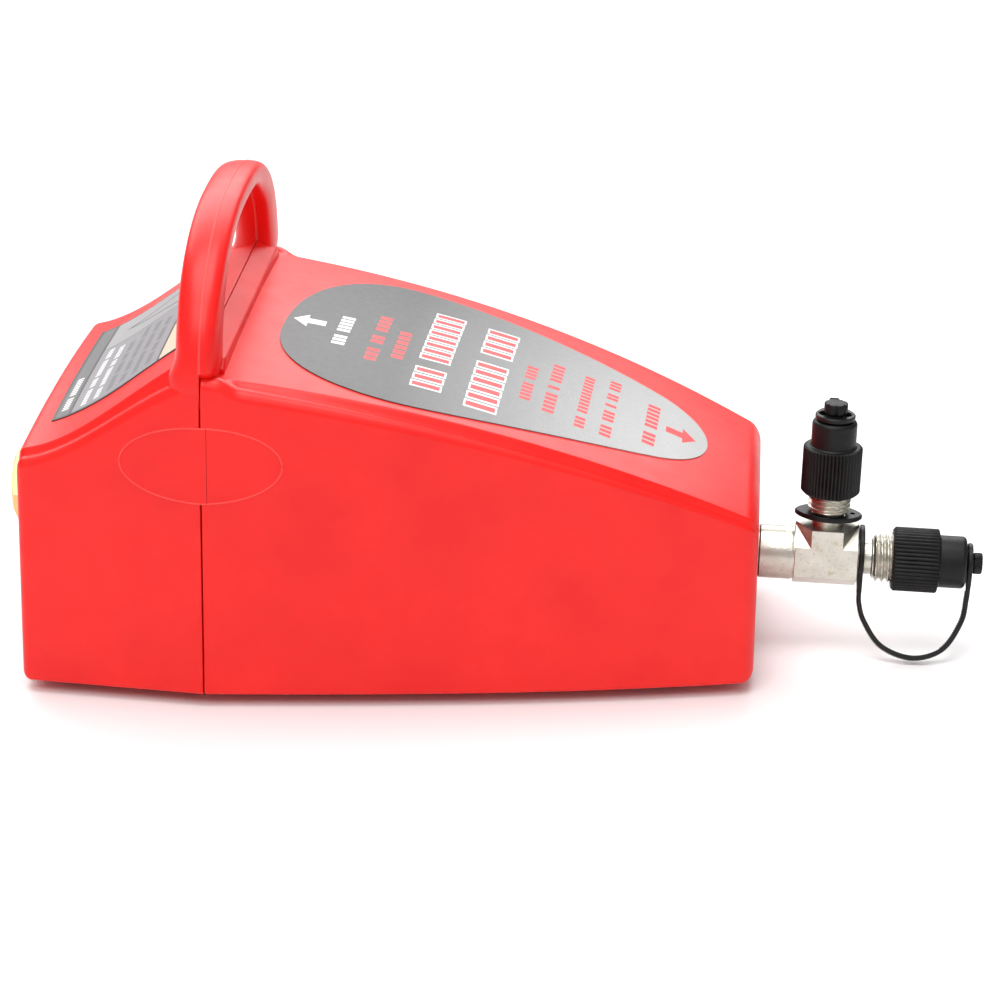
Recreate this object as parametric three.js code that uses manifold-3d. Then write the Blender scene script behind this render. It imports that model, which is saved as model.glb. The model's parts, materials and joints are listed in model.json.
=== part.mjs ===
// Air-operated (venturi) vacuum pump with a carry handle and a capped suction tee.
// Compressed air enters the brass fitting at the rear, blows through a nozzle and a diffuser,
// and leaves through a silencer under the housing; the tee at the front draws the vacuum.
// Millimetres, +X towards the tee, +Z up, mirror plane y = 0. While the pieces are built, x = 0
// is the joint plane of the two housing halves and z = 0 is the underside of the housing. The
// last lines move the whole group so that its origin is the bottom centre of its box.
import * as THREE from 'three';
import { mergeVertices } from 'three/addons/utils/BufferGeometryUtils.js';
import Module from 'manifold-3d';

const wasm = await Module();
wasm.setup();

// Housing
const GAP = 0.3;                 // clearance between pieces that touch
const WALL = 2.5;
const REAR_LENGTH = 47;
const FRONT_LENGTH = 137.4;
const EDGE_ROUND = 2.2;          // rounding of the two end faces
// Each list is a cubic Bezier's four ordinates from the joint plane to the end face.
const REAR_PROFILE = {
  half: [59.9, 58.4, 56.8, 55.2],     // half width
  top: [88.3, 80.8, 62.2, 60.6],      // height of the top panel's edge
  drop: [4.2, 1.5, 1.4, 1.4],         // how far the shoulder lies below the panel's edge
  ledge: [5, 4.3, 3.9, 3.5],          // width scale of the shoulder
};
const FRONT_PROFILE = {
  half: [59.9, 55.7, 50.3, 37.8],
  top: [82.4, 76.9, 65, 43],
  drop: [0.3, 2.2, 2.4, 1.5],
  ledge: [4.7, 3.9, 2.8, 1.3],
};
const CROWN = 1.6;               // rise of the top panel from its edge to the middle
const TAB = { length: 1.3, low: 51.4, high: 71 };   // rear half's tongue at the grip mark
const FOOT = { radius: 7, height: 3, recess: 1 };
const SLOTS = [52, 60, 68, 76, 84];   // exhaust slots through the floor and the silencer
const SLOT_HALF = 1.5;
const PORT_HOLE = { radius: 7, z: 21.9 };   // in the front wall, for the tee's shank
const FOOT_PLACES = { rear_left: [-36, 40], rear_right: [-36, -40],
  front_left: [112, 30], front_right: [112, -30] };

// Carry handle, an arch across the housing on the joint plane
const HANDLE = { width: 11, middle: -1.1, round: 2.6, wall: 2.4, base: 78 };
const ARCH_OUTER = { half: 60, spring: 81.7, rise: 36.5, power: 2.26, foot: 59.4 };
const ARCH_INNER = { half: 44.3, spring: 80, rise: 31.7, power: 2.68, foot: 44.3 };
const RIB = { front: 6.6, half: 46, top: 88.3 };

// Screws that join the halves, driven from the rear face
const BOSS = { radius: 4.6, y: 48.6, heights: [13, 49], depth: 18, seat: -9 };
const SCREW = { head: 3.5, headHeight: 2.4, shank: 1.6, length: 20, headHole: 4.1, hole: 2.2 };

// Air inlet and venturi, on one axis
const INLET = { z: 33, flats: 17.5, reach: 11.2, shank: 6.6, bore: 5.6, tail: -33 };
const VENTURI = { rear: -32.7, front: -3, y: 11, up: 12, port: -14 };
const DIFFUSER = { radius: 6.2, start: -10, end: 50 };
const CAN = { radius: 16, wall: 1.5, start: 44, end: 92 };
const STRAP = { x: 71, width: 10, thick: 1, postY: 23, postTop: 20 };
const HOSE = { outer: 4, inner: 2.8 };
const NUT = { flats: 19, thick: 4.5 };
const WASHER = { radius: 10, thick: 1 };

// Suction tee: a forging with hexagonal branches, screwed in 1.25 degrees nose down
const TEE = { x: 141.8, z: 21.8, tilt: 0.0218, flats: 14.29, centre: 155.25, back: 147, front: 163.5,
  top: 9, stub: 7 };
const ACME = { neck: 4.5, crest: 6.35, root: 5.45, pitch: 1.5875, start: 167.4, turns: 8 };
const FLARE = { neck: 4.15, crest: 5.55, root: 4.75, pitch: 1.27, start: 12.5, turns: 9 };
const ACME_CAP = { mouth: 172.5, shoulder: 184.6, face: 191.8, end: 196.1,
  grip: 8.4, nose: 6.85, groove: 2.2, knob: 2.8, bore: 6.7 };
const FLARE_CAP = { mouth: 17.5, shoulder: 30.2, face: 37.4, end: 42.1,
  grip: 7.7, nose: 5.85, groove: 2.3, knob: 3.1, bore: 5.9 };
const SEAL = { gap: 0.7, thick: 1 };   // disc in the bottom of each cap
const RING_THICK = 1.3;
const STRAP_SECTION = { width: 2.6, thick: 1.2 };

const LOOKS = {
  redPlastic: { color: 0xd9161b, roughness: 0.38, metalness: 0 },
  blackPlastic: { color: 0x141416, roughness: 0.5, metalness: 0 },
  rubber: { color: 0x1b1b1b, roughness: 0.85, metalness: 0 },
  zinc: { color: 0xb9b6a8, roughness: 0.35, metalness: 1 },
  steel: { color: 0x9a9ca0, roughness: 0.35, metalness: 1 },
  brass: { color: 0xb08a45, roughness: 0.35, metalness: 1 },
  aluminium: { color: 0xa9abae, roughness: 0.45, metalness: 1 },
  foam: { color: 0x3a3a3c, roughness: 0.95, metalness: 0 },
  label: { color: 0x9b9b9b, roughness: 0.4, metalness: 0.3 },
};

const pump = new THREE.Group();
const tee = new THREE.Group();
tee.position.set(TEE.x, 0, TEE.z);
tee.rotation.y = TEE.tilt;
pump.add(tee);

// ---------------------------------------------------------------- solids and booleans
function solid(geometry) {
  const bare = geometry.clone();
  bare.deleteAttribute('normal');
  bare.deleteAttribute('uv');
  const merged = mergeVertices(bare, 1e-4);
  return new wasm.Manifold(new wasm.Mesh({ numProp: 3,
    vertProperties: new Float32Array(merged.attributes.position.array),
    triVerts: new Uint32Array(merged.index.array) }));
}

function add(parent, name, body, look) {
  const mesh = body.getMesh();
  const geometry = new THREE.BufferGeometry();
  geometry.setAttribute('position', new THREE.BufferAttribute(new Float32Array(mesh.vertProperties), 3));
  geometry.setIndex(new THREE.BufferAttribute(new Uint32Array(mesh.triVerts), 1));
  geometry.computeVertexNormals();
  const node = new THREE.Mesh(geometry, new THREE.MeshStandardMaterial(LOOKS[look]));
  node.name = name;
  parent.add(node);
  return node;
}

function union(...bodies) {
  return bodies.reduce((sum, body) => sum.add(body));
}

function box(x0, x1, y0, y1, z0, z1) {
  const geometry = new THREE.BoxGeometry(x1 - x0, y1 - y0, z1 - z0);
  return solid(geometry.translate((x0 + x1) / 2, (y0 + y1) / 2, (z0 + z1) / 2));
}

// A turned piece about the X axis: profile is a list of [x, radius].
function turned(profile, segments = 16) {
  const points = profile.map(([x, r]) => new THREE.Vector2(r, x));
  return solid(new THREE.LatheGeometry(points, segments).rotateZ(-Math.PI / 2).rotateX(Math.PI / 2));
}

function rodX(r, x0, x1, segments = 16) {
  return turned([[x0, 0], [x0, r], [x1, r], [x1, 0]], segments);
}

function ringX(inner, outer, x0, x1, segments = 16) {
  return turned([[x0, inner], [x0, outer], [x1, outer], [x1, inner], [x0, inner]], segments);
}

// Turns a piece made about +X so that it stands about +Z.
function upright(body) {
  return body.rotate([0, -90, 0]);
}

// Hexagonal bar along X with a pair of flats facing +Y and -Y, or +Z and -Z.
function hexX(flats, x0, x1, flatsFaceY = true) {
  const r = flats / Math.sqrt(3);
  const geometry = new THREE.CylinderGeometry(r, r, x1 - x0, 6);
  geometry.rotateZ(Math.PI / 2).translate((x0 + x1) / 2, 0, 0);
  const bar = solid(geometry);
  return flatsFaceY ? bar.rotate([90, 0, 0]) : bar;
}

// Skin over rings of points with a fan over each end. Each ring turns anticlockwise when it is
// seen from the end that the list runs towards.
function loft(rings) {
  const count = rings[0].length;
  const vertices = rings.flat();
  const faces = [];
  for (let i = 0; i + 1 < rings.length; i += 1) {
    for (let j = 0; j < count; j += 1) {
      const a = i * count + j;
      const b = i * count + (j + 1) % count;
      faces.push(a, b, b + count, a, b + count, a + count);
    }
  }
  for (const i of [0, rings.length - 1]) {
    const hub = vertices.length;
    vertices.push([0, 1, 2].map((k) => rings[i].reduce((sum, p) => sum + p[k], 0) / count));
    for (let j = 0; j < count; j += 1) {
      const a = i * count + j;
      const b = i * count + (j + 1) % count;
      faces.push(hub, ...(i === 0 ? [b, a] : [a, b]));
    }
  }
  const geometry = new THREE.BufferGeometry();
  geometry.setAttribute('position', new THREE.Float32BufferAttribute(vertices.flat(), 3));
  geometry.setIndex(faces);
  return solid(geometry);
}

// ---------------------------------------------------------------- housing
function bezier([a, b, c, d], t) {
  const s = 1 - t;
  return a * s * s * s + 3 * b * s * s * t + 3 * c * s * t * t + d * t * t * t;
}

// Cross-section of the housing at fraction t of a half's length, moved inwards by inset.
function section(profile, t, x, inset) {
  const half = bezier(profile.half, t) - inset;
  const top = bezier(profile.top, t) - inset;
  const shoulder = top - bezier(profile.drop, t);
  const s = bezier(profile.ledge, t);
  const side = [
    [half - 2, inset], [half - 0.6, inset + 0.6], [half, inset + 2],
    [half, shoulder - 0.65 * s], [half - 0.2 * s, shoulder - 0.2 * s], [half - 0.65 * s, shoulder],
    [half - 0.85 * s, shoulder + 0.2], [half - 1.3 * s, top + 0.4],
    [0.5 * half, top + 0.4 + 0.75 * CROWN],
  ];
  const ring = [...side, [0, top + 0.4 + CROWN], ...side.map(([y, z]) => [-y, z]).reverse()];
  return ring.map(([y, z]) => [x, y, z]);
}

// One half of the housing as a filled body; sign is -1 for the rear half and 1 for the front.
function housingFill(profile, length, sign, inset, steps = 8) {
  const rings = [section(profile, 0, -sign * inset, inset)];
  const end = length - inset;
  const straight = end - EDGE_ROUND;
  for (let i = 0; i <= steps; i += 1) {
    const x = GAP / 2 + (straight - GAP / 2) * i / steps;
    rings.push(section(profile, x / length, sign * x, inset));
  }
  rings.push(section(profile, 1, sign * (end - 0.3 * EDGE_ROUND), inset + 0.3 * EDGE_ROUND));
  rings.push(section(profile, 1, sign * end, inset + EDGE_ROUND));
  if (inset <= 0) {
    rings.shift();
  }
  return loft(sign > 0 ? rings : rings.reverse());
}

// Outline of the handle's arch in the YZ plane, shrunk on every side by inset.
function archShape(inset) {
  const steps = inset > 0 ? 8 : 12;
  const shape = new THREE.Shape();
  const curve = (arc, half, rise, order) => order.map((i) => {
    const angle = Math.PI * i / steps;
    const fold = (v) => Math.sign(v) * Math.abs(v) ** (2 / arc.power);
    return [half * fold(Math.cos(angle)), arc.spring + rise * fold(Math.sin(angle))];
  });
  const forward = Array.from({ length: steps + 1 }, (_, i) => i);
  const outer = curve(ARCH_OUTER, ARCH_OUTER.half - inset, ARCH_OUTER.rise - inset, forward);
  const backward = [...forward].reverse();
  const inner = curve(ARCH_INNER, ARCH_INNER.half + inset, ARCH_INNER.rise + inset, backward);
  shape.moveTo(ARCH_OUTER.foot - inset, HANDLE.base);
  outer.forEach(([y, z]) => shape.lineTo(y, z));
  shape.lineTo(-ARCH_OUTER.foot + inset, HANDLE.base);
  shape.lineTo(-ARCH_INNER.foot - inset, HANDLE.base);
  inner.forEach(([y, z]) => shape.lineTo(y, z));
  shape.lineTo(ARCH_INNER.foot + inset, HANDLE.base);
  return shape;
}

function arch(inset) {
  const depth = HANDLE.width - 2 * inset;
  const bevel = inset > 0 ? 0 : HANDLE.round;
  const geometry = new THREE.ExtrudeGeometry(archShape(inset), { depth: depth - 2 * bevel,
    bevelEnabled: bevel > 0, bevelThickness: bevel, bevelSize: bevel, bevelOffset: -bevel,
    bevelSegments: 2 });
  geometry.translate(0, 0, HANDLE.middle - depth / 2 + bevel);
  const across = new THREE.Matrix4().makeBasis(new THREE.Vector3(0, 1, 0),
    new THREE.Vector3(0, 0, 1), new THREE.Vector3(1, 0, 0));
  return solid(geometry.applyMatrix4(across));
}

const handleFull = arch(0);
const handleHollow = arch(HANDLE.wall);
const bossPlaces = BOSS.heights.flatMap((z) => [[BOSS.y, z], [-BOSS.y, z]]);

function footRecesses(names) {
  return names.map((name) => {
    const [x, y] = FOOT_PLACES[name];
    return upright(rodX(FOOT.radius + 0.5, -1, FOOT.recess)).translate([x, y, 0]);
  });
}

// The tongue of the rear half at each grip mark, grown by extra where the front half is cut.
function tongues(extra) {
  const outer = FRONT_PROFILE.half[0];
  return [-1, 1].map((side) => {
    const y = [outer - WALL - extra, outer - 0.12 + 3 * extra].map((v) => side * v);
    return box(-2, TAB.length + extra, Math.min(...y), Math.max(...y), TAB.low - extra, TAB.high + extra);
  });
}

function rearHousing() {
  let body = housingFill(REAR_PROFILE, REAR_LENGTH, -1, 0)
    .subtract(housingFill(REAR_PROFILE, REAR_LENGTH, -1, WALL));
  const bosses = bossPlaces.map(([y, z]) => rodX(BOSS.radius, WALL - REAR_LENGTH - 1, -GAP / 2, 10)
    .translate([0, y, z]));
  const behind = box(-60, -GAP / 2, -70, 70, -5, 130);
  body = union(body, ...bosses, handleFull.intersect(behind));
  body = body.subtract(handleHollow);
  body = union(body, ...tongues(0));
  for (const [y, z] of bossPlaces) {
    body = body.subtract(rodX(SCREW.headHole, -60, BOSS.seat, 12).translate([0, y, z]));
    body = body.subtract(rodX(SCREW.hole, -20, 5, 8).translate([0, y, z]));
  }
  for (const recess of footRecesses(['rear_left', 'rear_right'])) {
    body = body.subtract(recess);
  }
  return body.subtract(rodX(INLET.shank + GAP, -60, -40).translate([0, 0, INLET.z]));
}

function frontHousing() {
  let body = housingFill(FRONT_PROFILE, FRONT_LENGTH, 1, 0)
    .subtract(housingFill(FRONT_PROFILE, FRONT_LENGTH, 1, WALL));
  const ahead = box(GAP / 2, 160, -70, 70, -5, 130);
  const rib = box(GAP / 2, RIB.front, -RIB.half, RIB.half, 79, RIB.top);
  body = union(body, rib, handleFull.intersect(ahead));
  const ribHollow = box(-1, RIB.front - WALL, -RIB.half, RIB.half, 70, RIB.top - WALL);
  body = body.subtract(handleHollow).subtract(ribHollow);
  for (const [y, z] of bossPlaces) {
    const side = Math.sign(y);
    const web = [y, side * (FRONT_PROFILE.half[0] - 3.5)];
    body = union(body, rodX(BOSS.radius, GAP / 2, BOSS.depth, 10).translate([0, y, z]),
      box(GAP / 2 + 1, BOSS.depth - 3, Math.min(...web), Math.max(...web), z - 1, z + 1));
    body = body.subtract(rodX(SCREW.hole, -1, BOSS.depth - 2, 8).translate([0, y, z]));
  }
  for (const side of [-1, 1]) {
    const post = upright(rodX(3.6, 1, STRAP.postTop, 12)).translate([STRAP.x, side * STRAP.postY, 0]);
    const hole = upright(rodX(1.7, 8, 30, 10)).translate([STRAP.x, side * STRAP.postY, 0]);
    body = union(body, post).subtract(hole);
  }
  for (const x of SLOTS) {
    body = body.subtract(box(x - SLOT_HALF, x + SLOT_HALF, -12, 12, -1, WALL + 1));
  }
  for (const cut of [...tongues(GAP), ...footRecesses(['front_left', 'front_right'])]) {
    body = body.subtract(cut);
  }
  return body.subtract(rodX(PORT_HOLE.radius, 130, 150).translate([0, 0, PORT_HOLE.z]));
}

add(pump, 'rear_housing', rearHousing(), 'redPlastic');
add(pump, 'front_housing', frontHousing(), 'redPlastic');

// ---------------------------------------------------------------- feet and housing screws
for (const [name, [x, y]] of Object.entries(FOOT_PLACES)) {
  const low = -FOOT.height;
  const foot = turned([[low, 0], [low, 5.6], [low + 0.5, 6.4], [-GAP, FOOT.radius],
    [FOOT.recess - GAP, FOOT.radius], [FOOT.recess - GAP, 0]], 16);
  add(pump, `foot_${name}`, upright(foot).translate([x, y, 0]), 'rubber');
}

bossPlaces.forEach(([y, z], i) => {
  const seat = BOSS.seat - GAP;
  const screw = turned([[seat - SCREW.headHeight, 0], [seat - SCREW.headHeight, 2.4],
    [seat - SCREW.headHeight + 0.8, SCREW.head], [seat, SCREW.head], [seat, SCREW.shank],
    [seat + SCREW.length - 2, SCREW.shank], [seat + SCREW.length, 0.4], [seat + SCREW.length, 0]], 12);
  add(pump, `housing_screw_${i + 1}`, screw.translate([0, y, z]), 'steel');
});

// ---------------------------------------------------------------- air inlet, nozzle, silencer
function onInletAxis(body) {
  return body.translate([0, 0, INLET.z]);
}

function hexNut(rear, clear) {
  return hexX(NUT.flats, rear, rear + NUT.thick, false).subtract(rodX(clear, rear - 1, rear + NUT.thick + 1));
}

const inletFace = -REAR_LENGTH - INLET.reach;
const fittingHex = hexX(INLET.flats, inletFace, -REAR_LENGTH - GAP, false)
  .intersect(turned([[inletFace, 0], [inletFace, INLET.flats / 2], [inletFace + 1.2, 10.6],
    [-REAR_LENGTH, 10.6], [-REAR_LENGTH, 0]], 36));
const inletBore = turned([[inletFace - 1, 0], [inletFace - 1, 6.6], [inletFace + 1, INLET.bore],
  [inletFace + 14, INLET.bore - 0.5], [inletFace + 16, 3], [0, 3], [0, 0]]);
add(pump, 'inlet_fitting', onInletAxis(union(fittingHex, rodX(INLET.shank, -REAR_LENGTH - 1, INLET.tail))
  .subtract(inletBore)), 'brass');
const innerRear = WALL - REAR_LENGTH + GAP;
add(pump, 'inlet_washer', onInletAxis(ringX(INLET.shank + GAP, WASHER.radius, innerRear,
  innerRear + WASHER.thick)), 'steel');
add(pump, 'inlet_nut', onInletAxis(hexNut(innerRear + WASHER.thick + GAP, INLET.shank + GAP)), 'brass');

const ejector = box(VENTURI.rear, VENTURI.front, -VENTURI.y, VENTURI.y, -VENTURI.up, VENTURI.up)
  .subtract(rodX(5, VENTURI.rear - 1, -12)).subtract(rodX(2.4, -13, 0))
  .subtract(rodX(DIFFUSER.radius + GAP, DIFFUSER.start - GAP, 0))
  .subtract(upright(rodX(3.6, -20, -2)).translate([VENTURI.port, 0, 0]));
add(pump, 'ejector_block', onInletAxis(ejector), 'aluminium');
add(pump, 'air_nozzle', onInletAxis(turned([[-31, 1.6], [-31, 4.6], [-25, 4.6], [-23, 3.2], [-13, 1.7],
  [-13, 0.8], [-24, 1.6], [-31, 1.6]], 16)), 'brass');
add(pump, 'diffuser_tube', onInletAxis(turned([[DIFFUSER.start, 2.2], [DIFFUSER.start, DIFFUSER.radius],
  [DIFFUSER.end, DIFFUSER.radius], [DIFFUSER.end, 4.6], [10, 2.2], [DIFFUSER.start, 2.2]], 20)), 'aluminium');

let can = turned([[CAN.start, DIFFUSER.radius + GAP], [CAN.start, CAN.radius], [CAN.end, CAN.radius],
  [CAN.end, 0], [CAN.end - CAN.wall, 0], [CAN.end - CAN.wall, CAN.radius - CAN.wall],
  [CAN.start + CAN.wall, CAN.radius - CAN.wall], [CAN.start + CAN.wall, DIFFUSER.radius + GAP],
  [CAN.start, DIFFUSER.radius + GAP]]);
for (const x of SLOTS) {
  can = can.subtract(box(x - SLOT_HALF, x + SLOT_HALF, -9, 9, -20, -10));
}
add(pump, 'silencer_can', onInletAxis(can), 'blackPlastic');
const foamRadius = CAN.radius - CAN.wall - GAP;
add(pump, 'silencer_foam', onInletAxis(ringX(DIFFUSER.radius + GAP, foamRadius, CAN.start + CAN.wall + GAP,
  CAN.end - CAN.wall - GAP)), 'foam');

// Strap over the silencer, screwed to two posts on the floor
const strapOuter = CAN.radius + GAP + STRAP.thick;
const tabLow = STRAP.postTop + GAP - INLET.z;
const strapEnds = box(-5, 5, -STRAP.postY - 4, STRAP.postY + 4, tabLow, tabLow + STRAP.thick);
const strap = union(ringX(CAN.radius + 0.5, strapOuter + 0.2, -5, 5, 20)
  .subtract(box(-6, 6, -30, 30, -30, tabLow)), strapEnds.subtract(rodX(CAN.radius + 0.5, -6, 6, 20)))
  .subtract(upright(rodX(2, -30, 30, 12)).translate([0, STRAP.postY, 0]))
  .subtract(upright(rodX(2, -30, 30, 12)).translate([0, -STRAP.postY, 0]));
add(pump, 'silencer_strap', onInletAxis(strap).translate([STRAP.x, 0, 0]), 'steel');
['left', 'right'].forEach((name, i) => {
  const base = STRAP.postTop + 2 * GAP + STRAP.thick;
  const screw = turned([[base - 10, 0], [base - 10, 1.4], [base, 1.4], [base, 3.2], [base + 1.6, 3.2],
    [base + 2.3, 2], [base + 2.3, 0]], 12);
  const y = i === 0 ? STRAP.postY : -STRAP.postY;
  add(pump, `strap_screw_${name}`, upright(screw).translate([STRAP.x, y, 0]), 'steel');
});

// ---------------------------------------------------------------- suction line
const hoseRoute = [[1, 0, 10], [6, 0, 10], [13, 0, 9.8], [30, 4, 8.2], [55, 8, 8], [76, 7, 8], [90, 4, 10],
  [99, 1, 15.4], [107, 0, 20.4], [114, 0, 22.3], [119.5, 0, 22.3], [125, 0, 22.17]];
const barb = 2.2;

const elbow = union(upright(turned([[9, 0], [9, 3.9], [19, 3.9], [19, 3.3], [27, 3.3], [27, 0]], 16))
  .translate([VENTURI.port, 0, 0]), rodX(barb, VENTURI.port, 9, 16).translate([0, 0, 10]),
  rodX(3.9, VENTURI.port, -3, 16).translate([0, 0, 10]))
  .subtract(rodX(1.4, VENTURI.port, 20, 12).translate([0, 0, 10]))
  .subtract(upright(rodX(1.4, 10, 30, 12)).translate([VENTURI.port, 0, 0]));
add(pump, 'suction_elbow', elbow, 'brass');

const hosePath = new THREE.CatmullRomCurve3(hoseRoute.map((p) => new THREE.Vector3(...p)));
const hoseSection = new THREE.Shape().absarc(0, 0, HOSE.outer, 0, 2 * Math.PI);
hoseSection.holes.push(new THREE.Path().absarc(0, 0, HOSE.inner, 0, 2 * Math.PI, true));
add(pump, 'suction_hose', solid(new THREE.ExtrudeGeometry(hoseSection, { steps: 17, curveSegments: 4,
  extrudePath: hosePath })), 'rubber');

// Each spring clamp sits round the hose near one end, square to its route.
[['hose_clamp_rear', 0.04], ['hose_clamp_front', 0.96]].forEach(([name, u]) => {
  const ring = ringX(HOSE.outer + GAP, HOSE.outer + GAP + 0.7, -2.5, 2.5);
  const node = add(pump, name, ring, 'steel');
  node.position.copy(hosePath.getPointAt(u));
  node.quaternion.setFromUnitVectors(new THREE.Vector3(1, 0, 0), hosePath.getTangentAt(u));
});

// ---------------------------------------------------------------- tee, in its own tilted frame
const along = (x) => x - TEE.x;

// Profile of a ridged thread with the given number of turns, starting at x.
function threadProfile({ crest, root, pitch, start, turns }) {
  const points = [];
  for (let i = 0; i < turns; i += 1) {
    const x = start + i * pitch;
    points.push([x, root], [x + pitch / 2, crest]);
  }
  points.push([start + turns * pitch, root]);
  return points;
}

function teeBody() {
  const mid = along(TEE.centre);
  const back = along(TEE.back);
  const front = along(TEE.front);
  const wallFace = along(FRONT_LENGTH) + GAP;
  const run = hexX(TEE.flats, back, front);
  const branch = upright(hexX(TEE.flats, -1, TEE.top)).translate([mid, 0, 0]);
  const stub = turned([[wallFace, 0], [wallFace, TEE.stub], [back + 1, TEE.stub], [back + 1, 0]]);
  const shank = turned([[wallFace - 11, 0], [wallFace - 11, INLET.shank], [wallFace + 1, INLET.shank],
    [wallFace + 1, 0]]);
  const tail = rodX(barb, along(116), wallFace, 16);
  const acme = { ...ACME, start: along(ACME.start) };
  const acmeEnd = acme.start + ACME.turns * ACME.pitch;
  const right = turned([[front - 1, 0], [front - 1, ACME.neck], [acme.start, ACME.neck],
    ...threadProfile(acme), [acmeEnd + 0.6, ACME.root - 0.5], [acmeEnd + 0.6, 0]]);
  const flareEnd = FLARE.start + FLARE.turns * FLARE.pitch;
  const up = turned([[TEE.top - 1, 0], [TEE.top - 1, FLARE.neck], [FLARE.start, FLARE.neck],
    ...threadProfile(FLARE), [flareEnd + 0.6, 4.5], [flareEnd + 1.8, 3.4], [flareEnd + 1.8, 0]]);
  return union(run, branch, stub, shank, tail, right, upright(up).translate([mid, 0, 0]))
    .subtract(rodX(1.5, -60, mid, 12)).subtract(rodX(2.4, mid - 2, 60, 16))
    .subtract(upright(rodX(2, 0, 60, 16)).translate([mid, 0, 0]));
}

add(tee, 'tee_fitting', teeBody(), 'zinc');
const innerFront = along(FRONT_LENGTH) - WALL - 2 * GAP;
add(tee, 'bulkhead_washer', ringX(INLET.shank + GAP, WASHER.radius, innerFront - WASHER.thick,
  innerFront), 'steel');
add(tee, 'bulkhead_nut', hexNut(innerFront - WASHER.thick - GAP - NUT.thick, INLET.shank + GAP), 'zinc');

// A knurled cap about the X axis with a plain bore, a nose, and a knob that holds the tether.
function capBody(c) {
  return turned([[c.mouth, c.bore], [c.mouth, c.grip - 0.7], [c.mouth + 0.8, c.grip],
    [c.shoulder - 0.4, c.grip], [c.shoulder, c.grip - 0.4], [c.shoulder, c.nose],
    [c.face - 1.2, c.nose], [c.face, c.nose - 1.2], [c.face, c.groove],
    [c.face + RING_THICK + 2 * GAP, c.groove], [c.face + RING_THICK + 2 * GAP, c.knob],
    [c.end - 0.5, c.knob], [c.end, c.knob - 0.6], [c.end, 0],
    [c.shoulder - 0.4, 0], [c.shoulder - 0.4, c.bore], [c.mouth, c.bore]], 18);
}

function shifted(c, dx) {
  return { ...c, mouth: c.mouth + dx, shoulder: c.shoulder + dx, face: c.face + dx, end: c.end + dx };
}

const acmeCap = shifted(ACME_CAP, -TEE.x);
const mid = along(TEE.centre);
add(tee, 'acme_cap', capBody(acmeCap), 'blackPlastic');
const acmeSealEnd = acmeCap.shoulder - SEAL.gap;
add(tee, 'acme_cap_seal', rodX(ACME_CAP.bore - GAP, acmeSealEnd - SEAL.thick, acmeSealEnd), 'rubber');
add(tee, 'flare_cap', upright(capBody(FLARE_CAP)).translate([mid, 0, 0]), 'blackPlastic');
const flareSealEnd = FLARE_CAP.shoulder - SEAL.gap;
add(tee, 'flare_cap_seal', upright(rodX(FLARE_CAP.bore - GAP, flareSealEnd - SEAL.thick, flareSealEnd))
  .translate([mid, 0, 0]), 'rubber');

// Tethers: an eye round the neck, a strap, and an eye round the cap's knob.
function eye(inner, outer, x0, reach, halfWidth) {
  const tab = [[outer * 0.2, -halfWidth * 1.6], [reach, -halfWidth], [reach, halfWidth],
    [outer * 0.2, halfWidth * 1.6]];
  const shape = new THREE.Shape(tab.map(([u, v]) => new THREE.Vector2(u, v)));
  const plate = solid(new THREE.ExtrudeGeometry(shape, { depth: RING_THICK, bevelEnabled: false })
    .rotateY(Math.PI / 2).translate(x0, 0, 0));
  return union(rodX(outer, x0, x0 + RING_THICK, 18), plate)
    .subtract(rodX(inner, x0 - 1, x0 + RING_THICK + 1, 12));
}

// A flat strap along a planar curve; flatAxis is the direction of the strap's width.
function flatStrap(points, steps) {
  const curve = new THREE.CatmullRomCurve3(points.map((p) => new THREE.Vector3(...p)));
  const w = STRAP_SECTION.width / 2;
  const t = STRAP_SECTION.thick / 2;
  const rings = [];
  const normal = new THREE.Vector3();
  for (const p of points) {
    normal.add(new THREE.Vector3().crossVectors(
      new THREE.Vector3(...p).sub(curve.getPoint(0)), curve.getPoint(1).sub(curve.getPoint(0))));
  }
  normal.normalize();
  for (let i = 0; i <= steps; i += 1) {
    const centre = curve.getPointAt(i / steps);
    const across = new THREE.Vector3().crossVectors(curve.getTangentAt(i / steps), normal).normalize();
    rings.push([[-w, -t], [w, -t], [w, t], [-w, t]].map(([u, v]) => centre.clone()
      .addScaledVector(normal, u).addScaledVector(across, v).toArray()));
  }
  return loft(rings);
}

const neckEyeX = along(TEE.front) + GAP;
const LEAN = 29.5;   // degrees that the hanging loop leans out of the XZ plane
const capEyeX = acmeCap.face + GAP;
const leaning = (body) => body.rotate([-LEAN, 0, 0]);
add(tee, 'acme_tether_neck_eye', leaning(eye(ACME.neck + GAP, 8.4, neckEyeX, 9.6, 1.3)), 'blackPlastic');
add(tee, 'acme_tether_cap_eye', leaning(eye(ACME_CAP.groove + GAP, 5.2, capEyeX, 6.2, 1.3)), 'blackPlastic');
const loop = [[neckEyeX + 0.65, 0, -9.9], [neckEyeX + 2.7, 0, -16.7], [neckEyeX + 7.9, 0, -23.1],
  [neckEyeX + 15.3, 0, -25.8], [neckEyeX + 22.3, 0, -22.8], [neckEyeX + 26.9, 0, -15.3],
  [neckEyeX + 28.3, 0, -9.7], [capEyeX + 0.65, 0, -6.5]];
const lean = THREE.MathUtils.degToRad(-LEAN);
add(tee, 'acme_tether_strap', flatStrap(loop.map(([x, , z]) => [x, -z * Math.sin(lean),
  z * Math.cos(lean)]), 20), 'blackPlastic');

const flareNeckZ = TEE.top + 1.8;
const flareCapZ = FLARE_CAP.face + GAP;
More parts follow.
